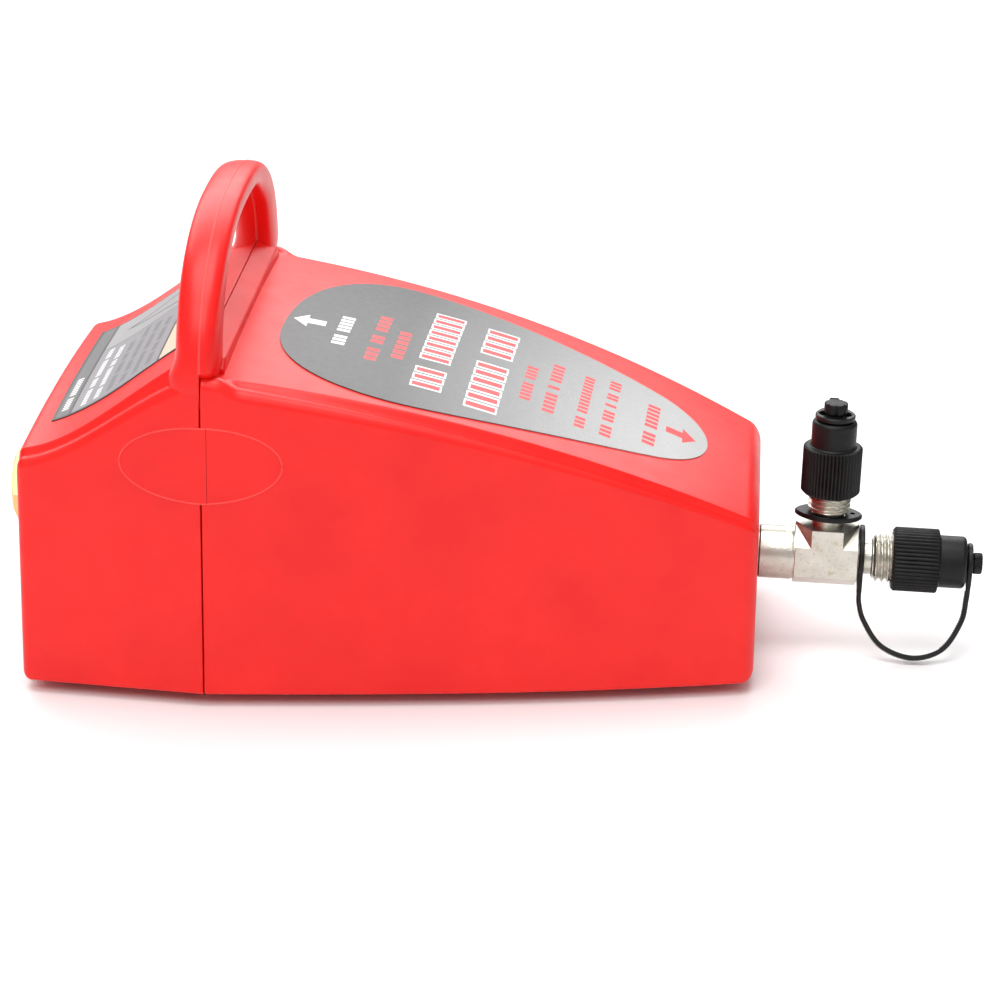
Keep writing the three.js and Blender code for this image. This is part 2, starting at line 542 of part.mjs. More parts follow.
// The flare port's tether lies on the far side, so its eyes' tabs point to +Y.
const behindTee = (body) => upright(body).rotate([0, 0, -90]).translate([mid, 0, 0]);
add(tee, 'flare_tether_neck_eye', behindTee(eye(FLARE.neck + GAP, 8.4, flareNeckZ, 9.6, 1.3)),
  'blackPlastic');
add(tee, 'flare_tether_cap_eye', behindTee(eye(FLARE_CAP.groove + GAP, 5.2, flareCapZ, 6.2, 1.3)),
  'blackPlastic');
const backLoop = [[9.9, flareNeckZ + 0.65], [15, flareNeckZ + 1.7], [21, flareNeckZ + 4.6],
  [25.6, flareNeckZ + 9.6], [26.6, flareNeckZ + 15.4], [23.6, flareNeckZ + 21.4],
  [17.4, flareNeckZ + 25.6], [11.4, flareNeckZ + 27.2], [6.5, flareCapZ + 0.65]];
add(tee, 'flare_tether_strap', flatStrap(backLoop.map(([y, z]) => [mid, y, z]), 20), 'blackPlastic');

// ---------------------------------------------------------------- labels
// A label is the skin between two enlarged copies of a housing half, cut to its outline.
function labelSkin(profile, length, sign, outline) {
  const column = solid(new THREE.ExtrudeGeometry(outline, { depth: 80, bevelEnabled: false,
    curveSegments: 5 }).translate(0, 0, 30));
  return housingFill(profile, length, sign, -GAP - 0.35).subtract(housingFill(profile, length, sign, -GAP))
    .intersect(column);
}

const frontLabel = new THREE.Shape();
frontLabel.moveTo(14.2, -14);
frontLabel.bezierCurveTo(14.2, -35, 27, -46, 44, -47);
frontLabel.bezierCurveTo(60, -48, 98, -34.5, 112, -25.5);
frontLabel.bezierCurveTo(128, -14.5, 126.5, 9, 112, 19.5);
frontLabel.bezierCurveTo(98, 28, 62, 41.5, 44, 42.5);
frontLabel.bezierCurveTo(27, 43.5, 14.2, 24, 14.2, -14);
add(pump, 'front_label', labelSkin(FRONT_PROFILE, FRONT_LENGTH, 1, frontLabel), 'label');

const rearLabel = new THREE.Shape();
rearLabel.moveTo(-41.5, -36.5);
rearLabel.lineTo(-28, -38.5);
rearLabel.quadraticCurveTo(-18, -39.5, -8.5, -37);
rearLabel.lineTo(-8.5, 37);
rearLabel.quadraticCurveTo(-18, 39.5, -28, 38.5);
rearLabel.lineTo(-41.5, 36.5);
rearLabel.closePath();
add(pump, 'rear_label', labelSkin(REAR_PROFILE, REAR_LENGTH, -1, rearLabel), 'label');

// ---------------------------------------------------------------- origin at the bottom centre
pump.updateMatrixWorld(true);
const whole = new THREE.Box3().setFromObject(pump, true);
pump.position.set(-(whole.min.x + whole.max.x) / 2, 0, -whole.min.z);
pump.updateMatrixWorld(true);

export default pump;
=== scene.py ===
"""Looks of the air-operated vacuum pump: moulded red housing, foil labels, plated tee, knurled caps.

Shapes are written in millimetres in the pump's building frame (x = 0 is the joint plane of the two
housing halves, z = 0 the underside of the housing, y = 0 the mirror plane) and turned into metres of
the row frame by BODY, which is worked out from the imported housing.
"""
import json
import math

import bmesh
import bpy
from mathutils import Matrix, Vector
from mathutils.geometry import delaunay_2d_cdt


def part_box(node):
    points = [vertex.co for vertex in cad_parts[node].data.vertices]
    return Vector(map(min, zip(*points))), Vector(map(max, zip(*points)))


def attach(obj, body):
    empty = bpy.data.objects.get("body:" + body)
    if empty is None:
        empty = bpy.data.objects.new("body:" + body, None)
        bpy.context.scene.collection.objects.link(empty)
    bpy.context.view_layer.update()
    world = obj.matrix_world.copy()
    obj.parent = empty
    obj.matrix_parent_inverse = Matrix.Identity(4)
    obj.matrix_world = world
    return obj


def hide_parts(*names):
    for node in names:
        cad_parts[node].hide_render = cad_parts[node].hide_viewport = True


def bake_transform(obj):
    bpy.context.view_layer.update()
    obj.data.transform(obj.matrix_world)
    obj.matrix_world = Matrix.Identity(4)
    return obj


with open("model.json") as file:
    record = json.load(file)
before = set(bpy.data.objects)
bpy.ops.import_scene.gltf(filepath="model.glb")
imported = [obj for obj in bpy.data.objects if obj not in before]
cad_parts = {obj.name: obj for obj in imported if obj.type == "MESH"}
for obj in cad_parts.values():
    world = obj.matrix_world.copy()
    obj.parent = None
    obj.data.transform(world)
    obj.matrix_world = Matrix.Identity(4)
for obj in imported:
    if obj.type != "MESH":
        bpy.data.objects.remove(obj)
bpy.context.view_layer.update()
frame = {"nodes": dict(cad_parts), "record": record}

# ---- frames and driving sizes
MM = 0.001
SEAM_GAP = 0.15          # half of the gap between the two housing halves
front_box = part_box("front_housing")
rear_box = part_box("rear_housing")
ORIGIN = Vector((front_box[0].x - SEAM_GAP * MM, 0, front_box[0].z))
BODY = Matrix.Translation(ORIGIN) @ Matrix.Scale(MM, 4)
FRONT_LENGTH = (front_box[1].x - ORIGIN.x) / MM
REAR_LENGTH = (ORIGIN.x - rear_box[0].x) / MM

# Each set of four numbers is a cubic Bezier's ordinates from the joint plane to the end face.
REAR = {
    "half": (59.9, 58.4, 56.8, 55.2),     # half width
    "top": (88.3, 80.8, 62.2, 60.6),      # height of the top panel's edge
    "drop": (4.2, 1.5, 1.4, 1.4),         # how far the shoulder lies below the panel's edge
    "ledge": (5, 4.3, 3.9, 3.5),          # width scale of the shoulder
    "length": REAR_LENGTH, "round": 2.2, "side": -1,
}
FRONT = {
    "half": (59.9, 55.7, 50.3, 37.8),
    "top": (82.4, 76.9, 65, 43),
    "drop": (0.3, 2.2, 2.4, 1.5),
    "ledge": (4.7, 3.9, 2.8, 1.3),
    "length": FRONT_LENGTH, "round": 3, "side": 1,
}
PANEL_LIFT = 0.4         # top of the step above the panel's nominal edge
CROWN = 1.6              # how far the top panel bulges at the middle
WALL = 2.5
FLOOR_ROUND = 1.3
BAND = {"end": 9.5, "run": 5.5, "lift": 1.7}      # the front half's shoulder is raised at the joint
RIB = {"front": 5.0, "half": 51, "rear_top": 88.6, "front_top": 85.7, "end_top": 83.8, "taper": 3}
# rear and front are how far the bar reaches from the joint plane. Near the feet its rear half widens
# below flare_top, and its front half steps in below waist_top.
HANDLE = {"rear": 6.6, "front": 4.4, "base": 76, "gap": 0.02, "core": 2.4, "lip": 0.10,
          "power": 2.8, "flare_top": 90, "flare": 2.0, "waist_top": 84.7, "waist": 0.5, "undercut": 2.2}
ARCH_OUTER = {"half": 60, "spring": 81.7, "rise": 36.5, "power": 2.26, "foot": 59.3}
ARCH_INNER = {"half": 44.3, "spring": 80, "rise": 31.7, "power": 2.68, "foot": 44.3}
MARK = {"x": -0.2, "z": 61.2, "a": 20.2, "b": 9.8, "thick": 0.24}   # ellipse on each side wall
TAB = {"end": 1.45, "low": 51.5, "high": 70.9}
BOSS = {"y": 48.6, "heights": (13, 49), "seat": -9, "hole": 4.1}
SLOTS = range(52, 85, 8)
FOOT = {"radius": 7, "height": 3, "recess": 1}
INLET = {"z": 33, "flats": 17.5, "reach": 11.2, "shank": 6.6, "pitch": 1.41, "tooth": 0.75}
LABEL = {"lift": 0.32, "thick": 0.3, "grid": 3.2}

TEE_PIVOT = Vector((141.8, 0, 21.8))
TEE_TILT = 0.0218
TEE = BODY @ Matrix.Translation(TEE_PIVOT) @ Matrix.Rotation(TEE_TILT, 4, "Y")
UP = Matrix.Rotation(-math.pi / 2, 4, "Y")         # stands a piece made along +X up along +Z
BRANCH_X = 155.25
BRANCH = TEE @ Matrix.Translation((BRANCH_X - TEE_PIVOT.x, 0, 0)) @ UP
RUN = TEE @ Matrix.Translation((-TEE_PIVOT.x, 0, 0))
HEX_FLATS = 14.29
ACME = {"neck": 4.5, "crest": 6.35, "root": 5.4, "pitch": 1.5875, "start": 167.4, "end": 180.1}
FLARE = {"neck": 4.15, "crest": 5.55, "root": 4.75, "pitch": 1.27, "start": 12.5, "end": 23.9}
ACME_CAP = {"mouth": 172.5, "shoulder": 184.6, "face": 191.8, "end": 196.1,
            "grip": 8.4, "nose": 6.85, "groove": 2.2, "knob": 2.8, "bore": 6.7}
FLARE_CAP = {"mouth": 17.5, "shoulder": 30.2, "face": 37.4, "end": 42.1,
             "grip": 7.7, "nose": 5.85, "groove": 2.3, "knob": 3.1, "bore": 5.9}
CAP_RIBS = 48
RING_THICK = 1.3         # tether eyes
TAB_HALF = 1.3           # half width of an eye's tab
STRAP = {"width": 2.6, "thick": 1.2, "tooth": 0.28, "round": 0.3, "steps": 150}
EYE_GAP = 0.3            # between an eye and the shoulder below it

CAMERA = {"yaw": 3.927, "pitch": 20.533, "roll": -0.871, "lens": 129.09, "place": (129.94, -878.13, 362.77)}
FLOOR_SIZE = 6.0


# ---- materials
class Nodes:
    """A material's node tree with short calls for the few nodes that the finishes share."""

    def __init__(self, name):
        self.material = bpy.data.materials.new(name)
        self.material.use_nodes = True
        self.tree = self.material.node_tree
        self.shader = self.tree.nodes["Principled BSDF"]
        self.coords = self.tree.nodes.new("ShaderNodeTexCoord").outputs["Object"]

    def put(self, socket, value):
        """Links a socket to another, or sets it to a number, vector or colour."""
        if isinstance(value, bpy.types.NodeSocket):
            self.tree.links.new(value, socket)
        else:
            socket.default_value = value

    def node(self, kind, **inputs):
        made = self.tree.nodes.new(kind)
        for key, value in inputs.items():
            self.put(made.inputs[key.replace("_", " ")], value)
        return made

    def noise(self, scale, detail=3, roughness=0.5, stretch=None):
        """Noise with features about 1/scale metres across."""
        coords = self.coords
        if stretch:
            mapping = self.node("ShaderNodeMapping", Vector=coords, Scale=stretch)
            coords = mapping.outputs["Vector"]
        made = self.node("ShaderNodeTexNoise", Vector=coords, Scale=scale, Detail=detail,
                         Roughness=roughness)
        return made.outputs["Fac"]

    def ramp(self, value, *stops):
        """Colour ramp; each stop is (position, grey or colour)."""
        made = self.node("ShaderNodeValToRGB", Fac=value)
        elements = made.color_ramp.elements
        while len(elements) < len(stops):
            elements.new(0.5)
        for element, (position, colour) in zip(elements, stops):
            element.position = position
            if not isinstance(colour, tuple):
                colour = (colour, colour, colour)
            element.color = (*colour, 1)
        return made.outputs["Color"]

    def mix(self, factor, a, b, blend="MIX"):
        made = self.tree.nodes.new("ShaderNodeMix")
        made.data_type = "RGBA"
        made.blend_type = blend
        for index, value in ((0, factor), (6, a), (7, b)):
            self.put(made.inputs[index], (*value, 1) if isinstance(value, tuple) else value)
        return made.outputs[2]

    def span(self, value, low, high):
        made = self.node("ShaderNodeMapRange", Value=value, To_Min=low, To_Max=high)
        return made.outputs["Result"]

    def set(self, **sockets):
        for key, value in sockets.items():
            self.put(self.shader.inputs[key.replace("_", " ")], value)

    def bump(self, *layers):
        """Each layer is (height socket, distance in metres)."""
        normal = None
        for height, distance in layers:
            made = self.node("ShaderNodeBump", Height=height, Strength=1.0, Distance=distance)
            if normal is not None:
                self.tree.links.new(normal, made.inputs["Normal"])
            normal = made.outputs["Normal"]
        self.set(Normal=normal)


def red_plastic(name, light=0.0):
    """Moulded glossy red plastic with a fine grain and a few pale nicks; light pales it, partly as thin flash
    does and partly as a painted highlight on the thin ridges that take it.
    """
    m = Nodes(name)
    # light raises green and blue: a paler red, partly flash and partly painted highlight
    deep = (0.82 + 0.1 * light, 0.008 + 0.13 * light, 0.007 + 0.12 * light)
    bright = (0.90, 0.013 + 0.14 * light, 0.009 + 0.13 * light)
    body = m.mix(m.ramp(m.noise(45, 4), (0.35, 0.0), (0.65, 1.0)), deep, bright)
    specks = m.node("ShaderNodeTexVoronoi", Vector=m.coords, Scale=95.0)
    nick = m.ramp(specks.outputs["Distance"], (0.018, 1.0), (0.034, 0.0))
    rare = m.ramp(m.noise(60, 1), (0.60, 0.0), (0.63, 1.0))
    both = m.node("ShaderNodeMath", Value=nick)
    both.operation = "MULTIPLY"
    m.tree.links.new(rare, both.inputs[1])
    m.set(Base_Color=m.mix(both.outputs["Value"], body, (0.95, 0.35, 0.28)),
          Roughness=m.span(m.noise(160, 4), 0.30, 0.44), Specular_IOR_Level=0.36)
    m.bump((m.noise(1500, 2), 0.000012), (m.noise(120, 2), 0.00005))
    return m.material


def black_plastic(name, shine=0.42):
    m = Nodes(name)
    m.set(Base_Color=m.ramp(m.noise(300, 3), (0.3, 0.003), (0.75, 0.008)),
          Roughness=m.span(m.noise(900, 3), shine - 0.08, shine + 0.14), Specular_IOR_Level=0.26)
    m.bump((m.noise(4200, 2), 0.000018), (m.noise(600, 2), 0.00004))
    return m.material


def rubber(name):
    m = Nodes(name)
    m.set(Base_Color=m.ramp(m.noise(400, 4), (0.3, 0.010), (0.7, 0.022)),
          Roughness=m.span(m.noise(1500, 2), 0.62, 0.85))
    m.bump((m.noise(3500, 3), 0.00004))
    return m.material


def zinc_plate(name):
    """Bright zinc over a cast and machined body: speckled, faintly yellow, with a few brown stains."""
    m = Nodes(name)
    plate = m.mix(m.noise(260, 4), (0.50, 0.475, 0.41), (0.74, 0.72, 0.65))
    stain = m.ramp(m.noise(330, 5, 0.65), (0.60, 0.0), (0.72, 0.75))
    speck = m.ramp(m.noise(1500, 3, 0.7), (0.57, 0.0), (0.66, 0.55))
    stained = m.mix(stain, plate, (0.46, 0.38, 0.25))
    m.set(Base_Color=m.mix(speck, stained, (0.36, 0.34, 0.29)), Metallic=1.0,
          Roughness=m.span(m.noise(700, 4), 0.20, 0.46))
    m.bump((m.noise(1300, 4, 0.6), 0.00005), (m.noise(300, 2), 0.00006))
    return m.material


def turned_metal(name, low, high, rough):
    """Bright metal with fine turning lines round the X axis."""
    m = Nodes(name)
    lines = m.noise(2600, 2, 0.5, stretch=(1, 0.02, 0.02))
    m.set(Base_Color=m.mix(m.noise(350, 4), low, high), Metallic=1.0,
          Roughness=m.span(m.noise(900, 3), rough - 0.07, rough + 0.12))
    m.bump((lines, 0.00002), (m.noise(900, 3), 0.00002))
    return m.material


def foam(name):
    m = Nodes(name)
    cells = m.node("ShaderNodeTexVoronoi", Vector=m.coords, Scale=900.0)
    m.set(Base_Color=m.ramp(cells.outputs["Distance"], (0.1, 0.09), (0.6, 0.018)), Roughness=0.95)
    m.bump((cells.outputs["Distance"], 0.0006))
    return m.material


def foil_label(name):
    """Brushed grey foil, dark behind and silver towards the tee."""
    m = Nodes(name)
    place = m.node("ShaderNodeSeparateXYZ", Vector=m.coords).outputs["X"]
    start = ORIGIN.x + 0.045
    along = m.node("ShaderNodeMapRange", Value=place, From_Min=start, From_Max=start + 0.07)
    shade = m.ramp(along.outputs["Result"], (0.0, 0.09), (0.35, 0.20), (1.0, 0.50))
    fine = m.ramp(m.noise(3500, 2), (0.35, 0.80), (0.65, 1.0))
    m.set(Base_Color=m.mix(1.0, shade, fine, "MULTIPLY"), Metallic=0.35,
          Roughness=m.span(m.noise(500, 3), 0.34, 0.46))
    m.bump((m.noise(2500, 2), 0.000015))
    return m.material


def ink(name, colour):
    m = Nodes(name)
    darker = tuple(0.86 * v for v in colour)
    m.set(Base_Color=m.mix(m.noise(900, 3), darker, colour), Roughness=m.span(m.noise(700, 2), 0.39, 0.53))
    m.bump((m.noise(2500, 2), 0.000012))
    return m.material


RED = red_plastic("red_abs")
# paler red of the raised ellipse and the handle's joint lip: partly thin flash, partly painted highlight
# along these ridges
RED_FLASH_AND_HIGHLIGHT = red_plastic("red_abs_flash_and_highlight", 0.4)
BLACK = black_plastic("black_nylon")
BLACK_SMOOTH = black_plastic("black_polythene", 0.34)
RUBBER = rubber("black_rubber")
ZINC = zinc_plate("zinc_plate")
STEEL = turned_metal("plated_steel", (0.50, 0.50, 0.51), (0.68, 0.68, 0.69), 0.32)
BRASS = turned_metal("turned_brass", (0.66, 0.46, 0.18), (0.83, 0.63, 0.30), 0.30)
ALUMINIUM = turned_metal("turned_aluminium", (0.60, 0.61, 0.62), (0.74, 0.75, 0.76), 0.38)
FOAM = foam("open_foam")
FOIL = foil_label("grey_foil")
WHITE_INK = ink("white_ink", (0.86, 0.86, 0.86))
RED_INK = ink("red_ink", (0.78, 0.045, 0.05))
GREY_INK = ink("dark_grey_ink", (0.155, 0.155, 0.16))
PALE_INK = ink("pale_grey_ink", (0.30, 0.29, 0.31))
PAPER = ink("white_paper", (0.38, 0.37, 0.38))
CREAM_INK = ink("cream_ink", (0.80, 0.62, 0.46))
BLACK_INK = ink("black_ink", (0.03, 0.03, 0.032))


# ---- mesh making
def add(name, data):
    """A new object in the scene."""
    thing = bpy.data.objects.new(name, data)
    bpy.context.scene.collection.objects.link(thing)
    return thing


def piece(name, parts, place, materials, sharp=32):
    """One mesh object from closed parts, each (points in mm, faces); place turns mm into metres."""
    made = bmesh.new()
    for points, faces in parts:
        corners = [made.verts.new(point) for point in points]
        for face in faces:
            made.faces.new([corners[i] for i in face])
    bmesh.ops.remove_doubles(made, verts=made.verts, dist=1e-5)
    bmesh.ops.dissolve_degenerate(made, edges=made.edges, dist=1e-6)
    bmesh.ops.recalc_face_normals(made, faces=made.faces)
    mesh = bpy.data.meshes.new(name)
    made.to_mesh(mesh)
    made.free()
    mesh.transform(place)
    for material in materials:
        mesh.materials.append(material)
    thing = add(name, mesh)
    soften(thing, sharp)
    return thing


def soften(thing, sharp):
    """Smooth shading with hard edges where faces meet at more than sharp degrees."""
    made = bmesh.new()
    made.from_mesh(thing.data)
    limit = math.radians(sharp)
    for edge in made.edges:
        edge.smooth = len(edge.link_faces) == 2 and edge.calc_face_angle(0) < limit
    for face in made.faces:
        face.smooth = True
    made.to_mesh(thing.data)
    made.free()


def modify(thing, kind, **settings):
    """Puts the result of one modifier in an object's mesh."""
    modifier = thing.modifiers.new(kind.lower(), kind)
    for key, value in settings.items():
        setattr(modifier, key, value)
    graph = bpy.context.evaluated_depsgraph_get()
    mesh = bpy.data.meshes.new_from_object(thing.evaluated_get(graph))
    thing.modifiers.clear()
    thing.data = mesh


def combine(thing, operation, tools, sharp=32):
    """Joins tools to a piece, cuts them from it or keeps what they share, then removes them."""
    for tool in tools:
        modify(thing, "BOOLEAN", operation=operation, solver="MANIFOLD", object=tool)
        bpy.data.objects.remove(tool)
    soften(thing, sharp)
    modify(thing, "WEIGHTED_NORMAL", keep_sharp=True)


def skin(rings, closed=False):
    """Points and faces of a skin over rings; the ends are fanned, or joined to each other when closed."""
    count = len(rings[0])
    points = [point for ring in rings for point in ring]
    faces = []
    for i in range(len(rings) if closed else len(rings) - 1):
        a = i * count
        b = (i + 1) % len(rings) * count
        for j in range(count):
            k = (j + 1) % count
            faces.append((a + j, a + k, b + k, b + j))
    if not closed:
        for start in (0, (len(rings) - 1) * count):
            hub = len(points)
            ring = points[start:start + count]
            points.append(sum((Vector(p) for p in ring), Vector()) / count)
            faces += [(start + j, start + (j + 1) % count, hub) for j in range(count)]
    return points, faces


def lathe(profile, segments=64, radius=None):
    """A turned shape about +X. profile is (x, r); radius(x, r, angle) may change r round the turn."""
    rings = []
    for x, r in profile:
        ring = []
        for i in range(segments):
            angle = math.tau * i / segments
            reach = radius(x, r, angle) if radius and r > 0 else r
            ring.append(Vector((x, reach * math.cos(angle), reach * math.sin(angle))))
        rings.append(ring)
    points, faces = skin(rings)
    return points[:-2], faces[:-2 * segments]


def rod(radius, start, end, segments=48):
    return lathe([(start, 0), (start, radius), (end, radius), (end, 0)], segments)


def slab(low, high):
    """A box between two corners, as a tool for cutting."""
    (x0, y0, z0), (x1, y1, z1) = low, high
    rings = [[Vector((x, y, z)) for y, z in ((y0, z0), (y1, z0), (y1, z1), (y0, z1))] for x in (x0, x1)]
    return skin(rings)


def hex_bar(flats, start, end, faces_up=False):
    """Hexagonal bar along +X; a pair of flats faces +Y and -Y, or +Z and -Z when faces_up."""
    turn = 0 if faces_up else math.pi / 6
    reach = flats / 2 / math.cos(math.pi / 6)
    angles = [turn + i * math.pi / 3 for i in range(6)]
    corners = [(reach * math.cos(a), reach * math.sin(a)) for a in angles]
    return skin([[Vector((x, y, z)) for y, z in corners] for x in (start, end)])


def tube(path, radius, sides=8):
    """Round bar along a path."""
    angles = [math.tau * k / sides for k in range(sides)]
    circle = [Vector((0, radius * math.cos(a), radius * math.sin(a))) for a in angles]
    rings = []
    for i, point in enumerate(path):
        ahead = path[min(i + 1, len(path) - 1)] - path[max(i - 1, 0)]
        turn = ahead.to_track_quat("X", "Z")
        rings.append([point + turn @ spot for spot in circle])
    return skin(rings)


def round_edges(thing, width):
    """Merges flat neighbours, so that only real edges are left, and rounds those edges."""
    modify(thing, "DECIMATE", decimate_type="DISSOLVE", angle_limit=math.radians(0.5))
    modify(thing, "BEVEL", width=width * MM, segments=2, limit_method="ANGLE", angle_limit=math.radians(30))


def finish(thing, body, node):
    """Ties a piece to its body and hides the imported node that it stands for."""
    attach(thing, body)
    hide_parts(node)


# ---- housing
def bezier(ordinates, t):
    """One ordinate of a cubic Bezier curve."""
    a, b, c, d = ordinates
    s = 1 - t
    return a * s ** 3 + 3 * b * s * s * t + 3 * c * s * t * t + d * t ** 3


def smooth(t):
    """Eases from 0 to 1, and stays at 0 or 1 outside that range of t."""
    t = min(1, max(0, t))
    return t * t * (3 - 2 * t)


def band_lift(profile, x):
    """The front half's shoulder rises to the rear half's beside the joint, under the handle's leg."""
    if profile is REAR:
        return 0
    return BAND["lift"] * smooth((BAND["end"] - abs(x)) / BAND["run"])


def levels(profile, x):
    """Half width, height of the panel's edge, height of the shoulder and width of the ledge at x."""
    t = min(1, abs(x) / profile["length"])
    edge = bezier(profile["top"], t)
    shoulder = edge - bezier(profile["drop"], t) + band_lift(profile, x)
    return bezier(profile["half"], t), edge, shoulder, bezier(profile["ledge"], t)


def crown(profile, x):
    if profile is REAR:
        return CROWN * smooth(abs(x) / 20)
    return CROWN


def panel_height(profile, x, y):
    half, edge, _, ledge = levels(profile, x)
    reach = half - 1.3 * ledge
    return edge + PANEL_LIFT + crown(profile, x) * max(0, 1 - (y / reach) ** 2)


def section(profile, x, inset):
    """Ring of points round the housing at x, moved inwards by inset."""
    half, edge, shoulder, ledge = levels(profile, x)
    half -= inset
    edge -= inset
    shoulder -= inset
    corner = FLOOR_ROUND
    side = [((half - corner) * i / 6, inset) for i in range(1, 6)]
    for i in range(7):
        angle = math.pi / 2 * i / 6
        side.append((half - corner + corner * math.sin(angle), inset + corner - corner * math.cos(angle)))
    low = inset + corner
    high = shoulder - 0.65 * ledge
    side += [(half, low + (high - low) * i / 14) for i in range(1, 14)]
    for i in range(9):
        angle = math.pi / 2 * i / 8
        side.append((half - 0.62 * ledge * (1 - math.cos(angle)),
                     high + 0.65 * ledge * math.sin(angle)))
    top = edge + PANEL_LIFT
    for i in range(1, 11):
        side.append((half - (0.70 + 0.06 * i) * ledge, shoulder + (top - shoulder) * smooth(i / 10)))
    reach = half - 1.3 * ledge
    for i in range(1, 16):
        y = reach * (1 - i / 16)
        side.append((y, top + crown(profile, x) * (1 - (y / reach) ** 2)))
    middle = [(0, top + crown(profile, x))]
    mirrored = [(-y, z) for y, z in reversed(side)]
    return [Vector((x, y, z)) for y, z in [(0, inset)] + side + middle + mirrored]


def stations(profile):
    """(x, inset) along one half: a fine lip at the joint, even steps, a rounded end."""
    length, rounding = profile["length"], profile["round"]
    made = [(SEAM_GAP, 0.32), (0.22, 0.16), (0.34, 0.05), (0.5, 0)]
    x = 0.5
    while x < length - rounding - 0.4:
        made.append((x, 0))
        fine = profile is FRONT and x < BAND["end"] + 1
        x += 0.5 if fine else 1.6
    for i in range(9):
        angle = math.pi / 2 * i / 8
        made.append((length - rounding * (1 - math.sin(angle)), rounding * (1 - math.cos(angle))))
    return made


def housing_skin(profile):
    side = profile["side"]
    return skin([section(profile, side * x, inset) for x, inset in stations(profile)])


def hollow_skin(profile):
    side, length = profile["side"], profile["length"]
    places = [-WALL] + [length * i / 24 for i in range(24)] + [length - WALL]
    return skin([section(profile, side * x, WALL) for x in places])


def superellipse(arc, angle):
    def fold(value):
        return math.copysign(abs(value) ** (2 / arc["power"]), value)
    return Vector((0, arc["half"] * fold(math.cos(angle)),
                   arc["spring"] + arc["rise"] * fold(math.sin(angle))))


def arch_stations(count=96):
    """Pairs of outer and inner points from one foot over the arch to the other, evenly spaced."""
    fine = 4000
    dense = [superellipse(ARCH_OUTER, math.pi * i / fine) for i in range(fine + 1)]
    lengths = [0.0]
    for a, b in zip(dense, dense[1:]):
        lengths.append(lengths[-1] + (b - a).length)
    angles = []
    k = 0
    for i in range(count + 1):
        while k < fine and lengths[k] < lengths[-1] * i / count:
            k += 1
        angles.append(math.pi * k / fine)
    pairs = [(superellipse(ARCH_OUTER, a), superellipse(ARCH_INNER, a)) for a in angles]
    legs = []
    low, steps = HANDLE["base"], 8
    for i in range(steps):
        share = i / steps
        outer = ARCH_OUTER["foot"] + (ARCH_OUTER["half"] - ARCH_OUTER["foot"]) * smooth(share)
        legs.append((Vector((0, outer, low + (ARCH_OUTER["spring"] - low) * share)),
                     Vector((0, ARCH_INNER["foot"], low + (ARCH_INNER["spring"] - low) * share))))
    mirrored = [(Vector((0, -a.y, a.z)), Vector((0, -b.y, b.z))) for a, b in reversed(legs)]
    return legs + pairs + mirrored


def leg_waist(side, z):
    """How much the half section is wider (+) or narrower (-) in x near the foot of a leg."""
    if side < 0:
        return HANDLE["flare"] * max(0, min(1, (HANDLE["flare_top"] - z) / 7)) ** 2
    if z < HANDLE["waist_top"]:
        return -HANDLE["waist"]
    return -HANDLE["waist"] * max(0, 1 - (z - HANDLE["waist_top"]) / 0.8) ** 2


def handle_half(side, inset=0.0):
    """Half of the handle's bar: an oval split on the joint plane, with a fine lip of flash."""
    power = HANDLE["power"]
    gap = HANDLE["gap"] if not inset else -1.0
    lip = HANDLE["lip"] if not inset else 0.0
    rings = []
    for outer, inner in arch_stations():
        middle = (outer + inner) / 2
        radial = (outer - inner) / 2
        reach = radial.length
        radial.normalize()
        reach -= inset
        width = HANDLE["front" if side > 0 else "rear"] - inset
        if not inset:
            width += leg_waist(side, outer.z)
            if side > 0 and outer.z < HANDLE["waist_top"]:
                reach -= HANDLE["undercut"]
        ring = [(gap, reach + lip), (gap + 0.14, reach + lip), (gap + 0.26, reach - 0.01)]
        for i in range(1, 24):
            angle = math.pi * i / 24
            across = abs(math.cos(angle)) ** (2 / power)
            ring.append((max(gap + 0.3, width * math.sin(angle) ** (2 / power)),
                         math.copysign(reach * across, math.cos(angle))))
        ring += [(gap + 0.26, 0.01 - reach), (gap + 0.14, -reach - lip), (gap, -reach - lip)]
        rings.append([middle + radial * r + Vector((side * x, 0, 0)) for x, r in ring])
    return skin(rings)


def rib():
    """Bar across the front half between the legs, sloping forwards and running out at the shoulders."""
    start = SEAM_GAP
    rings = []
    steps = 80
    for i in range(steps + 1):
        y = RIB["half"] * (2 * i / steps - 1)
        drop = smooth((abs(y) - RIB["half"] + RIB["taper"]) / RIB["taper"])
        rear = RIB["rear_top"] + (RIB["end_top"] - RIB["rear_top"]) * drop
        front = RIB["front_top"] + (RIB["end_top"] - 0.3 - RIB["front_top"]) * drop
        nose = RIB["front"]
        outline = [(start, 78), (start, rear - 0.12), (start + 0.12, rear), (nose - 0.6, front + 0.1),
                   (nose - 0.3, front - 0.05), (nose - 0.08, front - 0.3), (nose, front - 0.65),
                   (nose + 0.1, 78)]
        rings.append([Vector((x, y, z)) for x, z in outline])
    return skin(rings)


def wall_half(x):
    """Half width of the housing at x, which may lie in either half."""
    profile = FRONT if x > 0 else REAR
    return bezier(profile["half"], abs(x) / profile["length"])


def grip_marks(start, end, steps=60):
    """A fine bead along the ellipse on each side wall, between two angles in degrees."""
    tools = []
    for side in (-1, 1):
        path = []
        for i in range(steps + 1):
            angle = math.radians(start) + (math.radians(end) - math.radians(start)) * i / steps
            x = MARK["x"] + MARK["a"] * math.cos(angle)
            path.append(Vector((x, side * (wall_half(x) - 0.05), MARK["z"] + MARK["b"] * math.sin(angle))))
        tools.append(body_tool("mark", tube(path, MARK["thick"])))
    return tools


